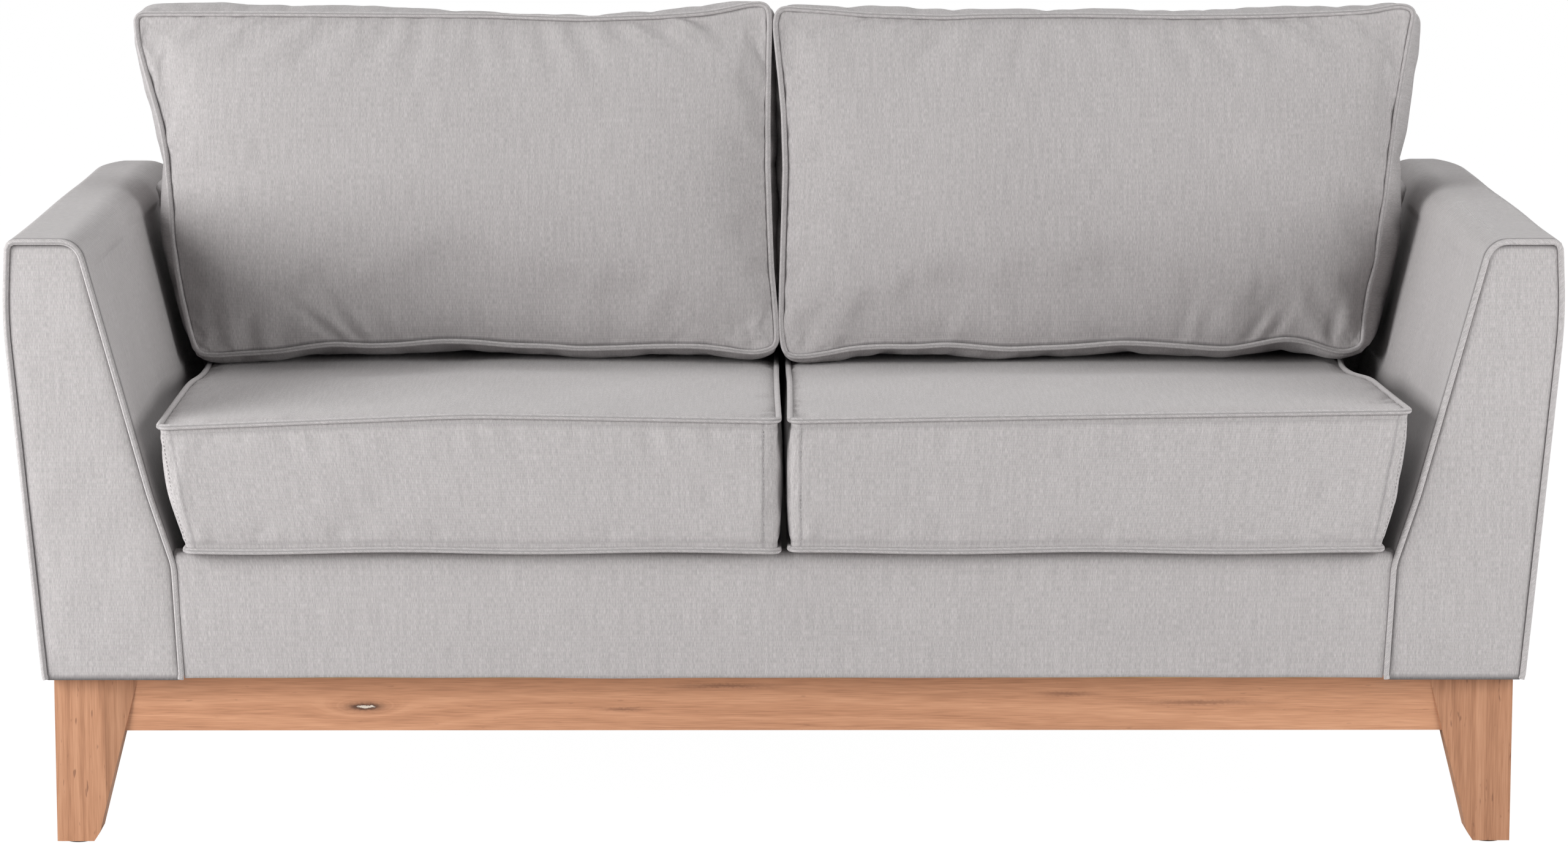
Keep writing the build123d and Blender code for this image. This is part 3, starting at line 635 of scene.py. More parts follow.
@dataclass(frozen=True)
class Wood:
    """Sawn and finished wood, whose growth lines run one way and bend round its knots."""

    name: str
    grain: Grain
    dark: Rgb
    middle: Rgb
    light: Rgb
    mineral: Rgb = (0.200, 0.088, 0.050)
    line_pitch: float = 8.0 * MM
    specks: float = 0.0
    depth: float = 1.0
    rough: float = 0.42
    eyes: tuple[Mark, ...] = ()
    streaks: tuple[Mark, ...] = ()

    def make(self) -> bpy.types.Material:
        """Make the wood's material, read in the object's own coordinates."""
        dye = Dye(self.name)
        place = dye.place()
        x, y, z = wired(dye.tree, "ShaderNodeSeparateXYZ", {0: place}).outputs
        first, second = {Grain.ACROSS: (z, y), Grain.DEEP: (z, x), Grain.UPRIGHT: (x, y)}[self.grain]
        stretch = self.grain.spread(2.2, 14)
        wander = dye.noise(place, stretch, Detail=2.0)
        field = dye.math("MULTIPLY", dye.total((first, 1), (second, 0.6)), 1 / self.line_pitch)
        field = dye.total((field, 1), (wander, 9.0))
        for eye in self.eyes:
            field = dye.total((field, 1), (self._nearness(dye, x, z, eye, 2.6, 5.0), eye.swell))
        lines = dye.add("ShaderNodeTexNoise", {"W": field, "Scale": 0.55, "Detail": 3.0}, noise_dimensions="1D")
        fibre = dye.noise(place, self.grain.spread(26, 700), Detail=2.0)
        tone = dye.total((lines, 0.55), (fibre, 0.45))
        stops = zip((0.32, 0.50, 0.66), (self.dark, self.middle, self.light))
        colour = dye.ramp(tone, [(at, tuple(c * self.depth for c in shade)) for at, shade in stops])
        cloud = dye.noise(place, tuple(v / 2.5 for v in stretch), Detail=2.0)
        shade = dye.ramp(cloud, [(0.35, (0.90, 0.88, 0.87)), (0.65, (1.0, 1.0, 1.0))])
        colour = dye.mix(1.0, colour, shade, "MULTIPLY")
        if self.specks:
            dots = dye.noise(place, self.grain.spread(60, 260), Detail=1.0)
            dots = dye.ramp(dots, [(0.70, (0.0, 0.0, 0.0)), (0.78, (1.0, 1.0, 1.0))])
            colour = dye.mix(dye.math("MULTIPLY", dots, self.specks), colour, self.mineral)
        ragged = dye.math("SUBTRACT", dye.noise(place, (240, 240, 420), Detail=4.0, Roughness=0.65), 0.5)
        ragged = dye.math("MULTIPLY", ragged, 5.0 * MM)
        rough_z = dye.math("ADD", z, ragged)
        for streak in self.streaks:
            nearness = self._nearness(dye, x, rough_z, streak)
            colour = dye.mix(dye.math("MULTIPLY", nearness, streak.swell), colour, self.mineral)
        for eye in self.eyes:
            halo = self._nearness(dye, x, rough_z, eye, 2.2, 4.5)
            colour = dye.mix(dye.math("MULTIPLY", halo, 0.30), colour, self.mineral)
            rim = self._nearness(dye, x, rough_z, eye, 1.35, 2.0)
            rim = dye.math("MINIMUM", dye.math("MULTIPLY", rim, 1.7), 1.0)
            colour = dye.mix(rim, colour, tuple(c * 0.5 for c in self.mineral))
            slit = self._nearness(dye, x, rough_z, replace(eye, x=eye.x + 0.1 * eye.reach))
            slit = dye.math("MULTIPLY", dye.math("SUBTRACT", slit, 0.42), 6.0)
            slit = dye.math("MINIMUM", dye.math("MAXIMUM", slit, 0.0), 1.0)
            colour = dye.mix(slit, colour, (0.66, 0.58, 0.50))
        rough = dye.math("ADD", self.rough, dye.math("MULTIPLY", fibre, 0.12))
        return dye.dress(colour, rough, tone, 0.25 * MM, Specular_IOR_Level=0.42)

    def _nearness(
        self, dye: Dye, x: bpy.types.NodeSocket, z: bpy.types.NodeSocket, mark: Mark,
        wider: float = 1.0, taller: float = 1.0,
    ) -> bpy.types.NodeSocket:
        """One at a mark's middle, falling smoothly to nought past its half sizes."""
        squares = []
        for value, middle, half in ((x, mark.x, mark.reach * wider), (z, mark.z, mark.height * taller)):
            off = dye.math("DIVIDE", dye.math("SUBTRACT", value, middle), half)
            squares.append(dye.math("POWER", dye.math("ABSOLUTE", off), 2.0))
        return dye.math("EXPONENT", dye.math("MULTIPLY", dye.math("ADD", *squares), -1.0))


@dataclass(frozen=True)
class Plain:
    """A plain technical finish: metal, moulded plastic, felt or lining cloth."""

    name: str
    colour: Rgb
    rough: float
    metallic: float = 0.0
    spot: float = 2.5 * MM
    relief: float = 0.12 * MM

    def make(self) -> bpy.types.Material:
        """Make the finish with faint spots and relief at its own scale."""
        dye = Dye(self.name)
        place = dye.place()
        fine = dye.noise(place, (1 / self.spot,) * 3, Detail=3.0)
        wide = dye.noise(place, (14.0, 14.0, 14.0), Detail=2.0)
        tone = dye.total((fine, 0.6), (wide, 0.4))
        low, high = tuple(c * 0.80 for c in self.colour), tuple(min(1.0, c * 1.15) for c in self.colour)
        colour = dye.ramp(tone, [(0.32, low), (0.68, high)])
        rough = dye.math("ADD", self.rough - 0.05, dye.math("MULTIPLY", fine, 0.1))
        return dye.dress(colour, rough, fine, self.relief, Metallic=self.metallic)


FRUITWOOD: dict[str, Rgb] = {
    "dark": (0.405, 0.192, 0.103), "middle": (0.560, 0.280, 0.156), "light": (0.660, 0.350, 0.205),
}
PINE: dict[str, Rgb] = {
    "dark": (0.480, 0.300, 0.140), "middle": (0.660, 0.470, 0.260), "light": (0.760, 0.590, 0.370),
}
PLY: dict[str, Rgb] = {
    "dark": (0.420, 0.300, 0.190), "middle": (0.600, 0.460, 0.310), "light": (0.700, 0.560, 0.400),
}


class Finishes:
    """Every finish of the sofa, made once."""

    def __init__(self) -> None:
        """Make the materials."""
        self.cloth = Chenille("heather_chenille").make()
        self.piping = Chenille(
            "heather_piping", dark=THREAD_COLOUR, middle=(0.500, 0.476, 0.476),
            light=(0.600, 0.574, 0.574), slub_length=12.0 * MM, turn=math.radians(45),
        ).make()
        self.thread = Plain("upholstery_thread", THREAD_COLOUR, 0.70, relief=0.05 * MM).make()
        rail_eyes = (Mark(-0.4503, 0.1484, 0.0115, 0.0017, 7.0),)
        rail_streaks = (
            Mark(-0.063, 0.1712, 0.046, 0.0022, 0.75), Mark(-0.1727, 0.1454, 0.020, 0.0020, 0.7),
            Mark(0.305, 0.1624, 0.024, 0.0022, 0.7), Mark(0.448, 0.1528, 0.060, 0.0024, 0.65),
        )
        self.rail = Wood(
            "fruitwood_rail", Grain.ACROSS, specks=0.3, eyes=rail_eyes, streaks=rail_streaks, **FRUITWOOD
        ).make()
        self.side_rail = Wood("fruitwood_side_rail", Grain.DEEP, **FRUITWOOD).make()
        self.leg = Wood(
            "fruitwood_leg", Grain.UPRIGHT, line_pitch=7.0 * MM, specks=0.7, depth=0.86, **FRUITWOOD
        ).make()
        self.boards = {grain: Wood(f"pine_{grain.value}", grain, rough=0.62, **PINE).make() for grain in Grain}
        self.ply = Wood("birch_ply", Grain.DEEP, line_pitch=9.0 * MM, rough=0.60, **PLY).make()
        self.steel = Plain("zinc_steel", (0.560, 0.560, 0.570), 0.38, metallic=1.0, relief=0.03 * MM).make()
        self.webbing = Plain("jute_webbing", (0.420, 0.350, 0.240), 0.90, spot=1.6 * MM, relief=0.4 * MM).make()
        self.padding = Plain("polyester_padding", (0.820, 0.820, 0.800), 0.95, spot=6.0 * MM, relief=0.8 * MM).make()
        self.lining = Plain("deck_lining", (0.330, 0.315, 0.300), 0.92, spot=1.2 * MM, relief=0.25 * MM).make()
        self.dust = Plain("black_spunbond", (0.030, 0.030, 0.032), 0.88, spot=1.4 * MM, relief=0.15 * MM).make()
        self.glide = Plain("glide_nylon", (0.085, 0.075, 0.068), 0.55, relief=0.05 * MM).make()


def dress_node(name: str, material: bpy.types.Material) -> None:
    """Give a CAD node a material in all its slots."""
    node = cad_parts[name]
    node.data.materials.clear()
    node.data.materials.append(material)


# Wooden frame, plinth and hardware.


@dataclass
class Woodwork:
    """The plinth, legs and inner frame, which keep the CAD nodes' own shapes."""

    finishes: Finishes

    def dress(self) -> None:
        """Dress each node by what it is made of."""
        made = self.finishes
        across, deep, upright = (made.boards[g] for g in (Grain.ACROSS, Grain.DEEP, Grain.UPRIGHT))
        rules: tuple[tuple[str, bpy.types.Material], ...] = (
            ("leg_", made.leg), ("plinth_rail", made.rail), ("plinth_side_rail", made.side_rail),
            ("plinth_corner_blocks", across), ("plinth_dowels", made.boards[Grain.DEEP]),
            ("foot_glides", made.glide), ("plinth_bolts", made.steel), ("arm_bolts", made.steel),
            ("arm_t_nuts", made.steel), ("seat_springs", made.steel), ("spring_clips", made.steel),
            ("arm_front_board", made.ply), ("arm_rear_board", made.ply), ("arm_", deep),
            ("back_formers", upright), ("back_webbing", made.webbing), ("back_", across),
            ("seat_corner_blocks", across), ("seat_side_rail", deep), ("seat_centre_rail", deep),
            ("seat_rail", across), ("seat_cushion_core", made.padding), ("deck_pad", made.padding),
            ("dust_cover", made.dust),
        )
        for name in sorted(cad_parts):
            found = next((finish for start, finish in rules if name.startswith(start)), made.lining)
            dress_node(name, found)
        LOG.info("dressed %d nodes", len(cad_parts))


# Upholstered body.


@dataclass
class Arm:
    """One flared arm: its cover, front panel and piping."""

    side: Side
    finishes: Finishes
    cord: NodeTree
    inner_corners: tuple[tuple[float, float], ...] = (
        (640.5, 183.0), (647.0, 308.1), (672.0, 385.9), (744.0, ARM_TOP),
    )
    outer_corners: tuple[tuple[float, float], ...] = ((792.0, 183.0), (826.0, 573.1), (822.0, ARM_TOP))
    inner_radii: tuple[float, ...] = (60.0, 340.0)
    outer_radii: tuple[float, ...] = (500.0,)
    middle_x: float = 716.0
    heel: float = 6.0
    ridge_inner: float = 26.0
    ridge_growth: float = 18.0
    ridge_outer: float = 11.0
    front_y: float = -408.1
    back_y: float = 430.5
    rear_radius: float = 45.0
    rear_reach: float = 110.0
    welt_radius: float = 3.2
    welt_y: float = -411.3
    front_crown: float = 3.2
    top_sag: float = 0.8

    def outline(self, inset: float, ridge: float) -> tuple[Array, Array, Array, Array]:
        """Edge lines of the arm's section, in millimetres.

        Args:
            inset: How far inside the cover's outline.
            ridge: Radius of the inner top edge.

        Returns:
            Bottom, top, inner and outer lines, each as x and z.
        """
        foot = (self.middle_x, self.inner_corners[0][1])
        corners = (foot, *self.inner_corners, *self.outer_corners[::-1], foot)
        radii = (self.heel, *self.inner_radii, ridge, self.ridge_outer, *self.outer_radii, self.heel)
        line = rounded_line(corners, radii)
        ahead = np.gradient(line, axis=0)
        ahead /= np.maximum(np.linalg.norm(ahead, axis=1)[:, None], 1e-9)
        line = line + np.stack((ahead[:, 1], -ahead[:, 0]), axis=1) * inset
        low = self.inner_corners[0][1]
        line[:, 1] -= np.clip(1 - (line[:, 1] - low - inset) / 30.0, 0, 1) * inset
        turns = [1 + arc * ARC_STEPS + ARC_STEPS // 2 for arc in (0, 3, 4, 6)]
        inner = even_line(line[turns[0]: turns[1] + 1], 97, 0.3)
        top = even_line(line[turns[1]: turns[2] + 1], 41, 0.6)
        outer = even_line(line[turns[2]: turns[3] + 1][::-1], 97, 0.3)
        bottom = even_line(np.concatenate((line[: turns[0] + 1][::-1], line[turns[3]:][::-1][1:])), 41, 0.6)
        return bottom, top, inner, outer

    def place(self, section: Array, y: Array | float) -> Array:
        """Stand section places up at a depth, on this arm's side, in metres."""
        x = section[..., 0] * self.side.value
        return np.stack((x, np.broadcast_to(y, x.shape), section[..., 1]), axis=-1) * MM

    def _ring(self, y: float) -> Array:
        """Section of the cover at a depth, from heel flap to heel flap over the top.

        Its inner top edge grows softer towards the back, and it is drawn in and down round the rear corners.
        """
        share = (y - self.front_y) / (self.back_y - self.front_y)
        top_radius, high_radius = {Side.LEFT: (42.0, 80.0), Side.RIGHT: (18.0, 42.0)}[self.side]
        bottom, top, inner, outer = self.outline(0.0, self.ridge_inner + self.ridge_growth * share**0.7)
        ring = np.concatenate((bottom[8:0:-1], inner, top[1:], outer[::-1][1:], bottom[-2:-10:-1]))
        x = ring[:, 0].copy()
        upper = np.clip((ring[:, 1] - 400.0) / 200.0, 0, 1)
        corner = self.rear_radius + (high_radius - self.rear_radius) * upper
        drawn = self._drawn(y, self.rear_radius) * (1 - upper) + self._drawn(y, self.rear_reach) * upper
        ring[:, 0] -= drawn * corner * np.clip((x - 720.0) / 95.0, 0, 1)
        high = np.clip((ring[:, 1] - SHOULDER) / (ARM_TOP - SHOULDER), 0, 1) ** 2
        ring[:, 1] -= self._drawn(y, top_radius) * top_radius * high * np.clip((x - 690.0) / 90.0, 0.3, 1)
        return ring

    def _drawn(self, y: float, reach: float) -> float:
        """Share of its depth by which a rear corner of some reach is drawn in at some y."""
        over = max(0.0, y - (self.back_y - reach)) / reach
        return 1 - math.sqrt(max(1 - over**2, 0.0))

    def cover(self) -> bpy.types.Object:
        """Make the cover that wraps the arm and closes its rear."""
        depths = np.concatenate((
            even_line(np.array([[self.front_y], [self.back_y - self.rear_reach]]), 45, 0.3)[:-1, 0],
            self.back_y - self.rear_reach * (1 - np.sin(np.linspace(0, math.pi / 2, 21))),
        ))
        wrap = np.array([self._ring(y) for y in depths])
        grid = self.place(wrap, depths[:, None])
        soft = Ripple(11 + self.side.value, 0.26)
        give = np.sin(math.pi * (depths - self.front_y) / (self.back_y - self.front_y))[:, None] ** 0.6
        upward = np.clip((wrap[..., 1] - 640.0) / 17.0, 0, 1)
        grid[..., 2] += upward * give * (soft.at(grid) * 0.6 - self.top_sag) * MM
        outward = np.where(wrap[..., 0] > 735.0, 1.0, -1.0) * (1 - upward) * self.side.value
        grid[..., 0] += outward * give * soft.at(grid) * 0.9 * MM
        shell = Shell()
        middle = np.array([self.middle_x * self.side.value, 0.0, 400.0]) * MM
        numbers = shell.sew(grid, flat_of(grid), middle)
        # Painted shade along the cover's front edge, in the crevice beside the piping.
        shell.seams.update((int(k), 0.8) for k in numbers[0])
        last, heel = grid[-1], 8
        corners = [heel, heel + 96, heel + 136, heel + 232]
        inner, top = last[corners[0]: corners[1] + 1], last[corners[1]: corners[2] + 1]
        outer = last[corners[2]: corners[3] + 1][::-1]
        rear = patch(even_line(np.array([inner[0], outer[0]]), 41, 0.6), top, inner, outer)
        shell.sew(rear, rear[..., [0, 2]], middle)
        piece = shell.piece(f"{self.side.word}_arm_cover_cloth", self.finishes.cloth)
        thicken(piece, 8 * MM)
        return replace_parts(piece, f"arm_cover_{self.side.word}")

    def front_panel(self) -> bpy.types.Object:
        """Make the slightly crowned front panel inside the piping."""
        section = patch(*self.outline(5.4, self.ridge_inner))
        u = np.linspace(-1, 1, section.shape[0])[:, None]
        v = np.linspace(-1, 1, section.shape[1])[None]
        dome = (1 - np.abs(u) ** 4) * (1 - np.abs(v) ** 8)
        uneven = Ripple(23 + self.side.value, 0.09, axes=2).at(section * MM) * 0.7
        grid = self.place(section, self.welt_y + 1.2 - dome * (self.front_crown + uneven))
        shell = Shell()
        numbers = shell.sew(grid, grid[..., [0, 2]], np.array([0.74 * self.side.value, 0.2, 0.4]))
        # Painted shade round the panel's rim, inside the piping.
        shell.mark_rim(numbers, (1.0, 0.55))
        piece = shell.piece(f"{self.side.word}_arm_front_panel", self.finishes.cloth)
        thicken(piece, 4 * MM)
        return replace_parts(piece, f"arm_facing_{self.side.word}")

    def piping(self) -> bpy.types.Object:
        """Run the covered cord round the front panel, heel to heel."""
        _, top, inner, outer = self.outline(self.welt_radius - 0.4, self.ridge_inner)
        ring = np.concatenate((inner, top[1:], outer[::-1][1:]))
        line = self.place(even_line(ring, 190), self.welt_y)
        piece = self.cord.run(
            f"{self.side.word}_arm_piping", [line], False, self.finishes.piping,
            Radius=self.welt_radius * MM, Sides=12,
        )
        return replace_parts(piece, f"arm_welt_{self.side.word}")

    def build(self) -> list[bpy.types.Object]:
        """Make the arm's pieces."""
        return [self.cover(), self.front_panel(), self.piping()]

    def inner_x(self, heights: Array) -> Array:
        """Half distance between the arms' inner faces at each height, in millimetres."""
        line = rounded_line(self.inner_corners, self.inner_radii)
        return np.interp(heights, line[:, 1], line[:, 0])


@dataclass
class Body:
    """The apron, seat deck, inside back and outside back between the arms."""

    finishes: Finishes
    arm: Arm
    stitches: NodeTree
    side_gap: float = 0.6
    apron_y: float = -411.6
    apron_base: float = 184.5
    deck_z: float = 320.0
    back_reach: float = 740.0
    top_fall: float = 14.0
    fall_from: float = 650.0
    seam_z: float = 625.0

    def _between(self, profile: Array, columns: int, seed: int, softness: float) -> Array:
        """Carry a profile from one arm to the other.

        Args:
            profile: Depth and height of each place, in millimetres.
            columns: How many places from side to side.
            seed: Seed of the cloth's unevenness.
            softness: How uneven, in millimetres.

        Returns:
            The grid, in metres, columns first.
        """
        reach = np.minimum(self.arm.inner_x(profile[:, 1]) - self.side_gap, self.back_reach)
        share = even_line(np.array([[-1.0], [1.0]]), columns, 0.4)[:, 0]
        x = share[:, None] * reach[None]
        grid = np.stack((x, np.broadcast_to(profile[:, 0], x.shape), np.broadcast_to(profile[:, 1], x.shape)), axis=2)
        along = np.gradient(profile, axis=0)
        normal = np.stack((along[:, 1], -along[:, 0]), axis=1)
        normal /= np.maximum(np.linalg.norm(normal, axis=1)[:, None], 1e-9)
        edge = 1 - np.abs(share) ** 12
        calm = np.clip(np.hypot(profile[:, 0] - self.arm.back_y, profile[:, 1] - self.seam_z) / 40.0, 0, 1)
        push = Ripple(seed, 0.17).at(grid * MM) * softness * edge[:, None] * calm[None]
        grid[..., 1] -= push * normal[None, :, 0]
        grid[..., 2] -= push * normal[None, :, 1]
        near_arm = np.clip(self._past_fall(grid[..., 0]), 0, 1)
        high = np.clip((grid[..., 2] - SHOULDER) / (ARM_TOP - SHOULDER), 0, 1)
        grid[..., 2] -= self.top_fall * near_arm**2 * high
        return grid * MM

    def _past_fall(self, x: Array) -> Array:
        """Shares from where the back's top starts to fall, at nought, to the cloth's end, at one."""
        return (np.abs(x) - self.fall_from) / (self.back_reach - self.fall_from)

    def _cloth(self, name: str, grid: Array, wall: float, *nodes: str) -> bpy.types.Object:
        """Make a body cloth that stands for some nodes."""
        shell = Shell()
        shell.sew(grid, flat_of(grid), np.array([0.0, 0.32, 0.25]))
        piece = shell.piece(name, self.finishes.cloth)
        thicken(piece, wall * MM)
        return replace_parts(piece, *nodes)

    @staticmethod
    def _level(
        box: tuple[Vector, Vector], places: tuple[int, int], lift: float, edge: int,
    ) -> tuple[Array, Array]:
        """Lay a level grid over a box.

        Args:
            box: Its lowest and highest corners.
            places: How many places across and deep.
            lift: How far above the box's top, in millimetres.
            edge: The higher, the nearer to its edges the cloth can move.

        Returns:
            The grid, and how freely each of its places can move, from 0 to 1.
        """
        low, high = box
        x, y = np.linspace(low.x, high.x, places[0]), np.linspace(low.y, high.y, places[1])
        grid = np.stack((*np.meshgrid(x, y, indexing="ij"), np.full(places, high.z + lift * MM)), axis=2)
        u, v = np.linspace(-1, 1, places[0])[:, None], np.linspace(-1, 1, places[1])[None]
        return grid, (1 - u**edge) * (1 - v**edge)

    def apron(self) -> bpy.types.Object:
        """Make the front apron, turned under at its foot and over on to the deck."""
        y, base, top = self.apron_y, self.apron_base, self.deck_z + 1.0
        corners = ((y + 9.0, base), (y, base), (y - 1.2, 250.0), (y, top), (y + 30.0, top))
        profile = even_line(rounded_line(corners, (3.0, 400.0, 9.0)), 41)
        grid = self._between(profile, 111, 31, 0.8)
        return self._cloth("apron_cloth", grid, 3.0, "apron_cover")

    def deck(self) -> bpy.types.Object:
        """Make the lined deck under the loose cushions."""
        grid, free = self._level(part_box("deck_cloth"), (61, 41), 0.0, 4)
        grid[..., 2] += free * (0.6 + 0.35 * Ripple(5, 0.2).at(grid)) * MM
        shell = Shell()
        shell.sew(grid, grid[..., :2], np.array([0.0, 0.0, 0.0]))
        piece = shell.piece("seat_deck_cloth", self.finishes.lining)
        thicken(piece, 1.5 * MM)
        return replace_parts(piece, "deck_cloth")

    def inside_back(self) -> bpy.types.Object:
        """Make the cover over the back box's front and top."""
        corners = ((207.5, 321.0), (249.5, ARM_TOP), (429.2, ARM_TOP), (428.4, 618.0))
        profile = even_line(rounded_line(corners, (30.0, 24.0)), 71, 0.2)
        grid = self._between(profile, 91, 37, 1.2)
        return self._cloth("inside_back_cloth", grid, 6.0, "back_cover")

    def outside_back(self) -> bpy.types.Object:
        """Make the outside back panel."""
        corners = ((430.4, 632.0), (430.4, 183.6))
        profile = even_line(np.array(corners), 45, 0.5)
        grid = self._between(profile, 91, 41, 1.1)
        return self._cloth("outside_back_cloth", grid, 4.0, "outer_back")

    def back_stitches(self) -> bpy.types.Object:
        """Lay the topstitch row along the outside back's top seam."""
        reach = self.back_reach - 6.0
        x = np.linspace(-reach, reach, 120)
        fall = self.top_fall * np.clip(self._past_fall(x), 0.0, None) ** 2
        line = np.stack((x, np.full(120, 430.9), self.seam_z - fall), axis=1) * MM
        piece = self.stitches.run("outside_back_stitches", [line], False, self.finishes.thread)
        return piece

    def dust_sheet(self) -> list[bpy.types.Object]:
        """Make the stapled lining under the seat, with its staples."""
        low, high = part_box("dust_cover")
        grid, free = self._level((low, high), (61, 33), -0.3, 6)
        grid[..., 2] -= free * (2.5 + Ripple(53, 0.16).at(grid)) * MM
        shell = Shell()
        shell.sew(grid, grid[..., :2], np.array([0.0, 0.0, 1.0]))
        piece = shell.piece("dust_lining_cloth", self.finishes.dust)
        thicken(piece, 0.6 * MM)
        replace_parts(piece, "dust_cover")
        inset, z = 5 * MM, high.z - 1.2 * MM
        rim = [(low.x + inset, low.y + inset), (high.x - inset, low.y + inset)]
        rim += [(high.x - inset, high.y - inset), (low.x + inset, high.y - inset), rim[0]]
        line = even_line(np.array([(a, b, z) for a, b in rim]), 240)
        staples = self.stitches.run(
            "dust_lining_staples", [line], False, self.finishes.steel, Pitch=0.032, Length=0.010, Thickness=0.0009,
        )
        return [piece, staples]

    def build(self) -> list[bpy.types.Object]:
        """Make the body's pieces."""
        cloths = [self.apron(), self.deck(), self.inside_back(), self.outside_back(), self.back_stitches()]
        return cloths + self.dust_sheet()


# Loose cushions.


@dataclass
class Edges:
    """The four edge lines of a cushion panel, in metres, corner to corner."""

    bottom: Array
    top: Array
    left: Array
    right: Array

    def ring(self) -> Array:
        """The edges as one closed line, anticlockwise as seen from outside."""
        return np.concatenate((self.bottom[:-1], self.right[:-1], self.top[::-1][:-1], self.left[::-1][:-1]))

    def rounded(self, reach: float) -> "Edges":
        """The same edges with their corners eased over about reach metres."""
        ring = self.ring()
        n, m = len(self.bottom) - 1, len(self.left) - 1
        corners = ring[[0, n, n + m, 2 * n + m]]
        near = np.exp(-((np.linalg.norm(ring[:, None] - corners[None], axis=2).min(axis=1) / reach) ** 2))
        for _ in range(14):
            ring = ring + near[:, None] * 0.5 * ((np.roll(ring, 1, 0) + np.roll(ring, -1, 0)) / 2 - ring)
        loop = np.concatenate((ring, ring[:1]))
        bottom, right = loop[: n + 1], loop[n: n + m + 1]
        return Edges(bottom, loop[n + m: 2 * n + m + 1][::-1], loop[2 * n + m:][::-1], right)


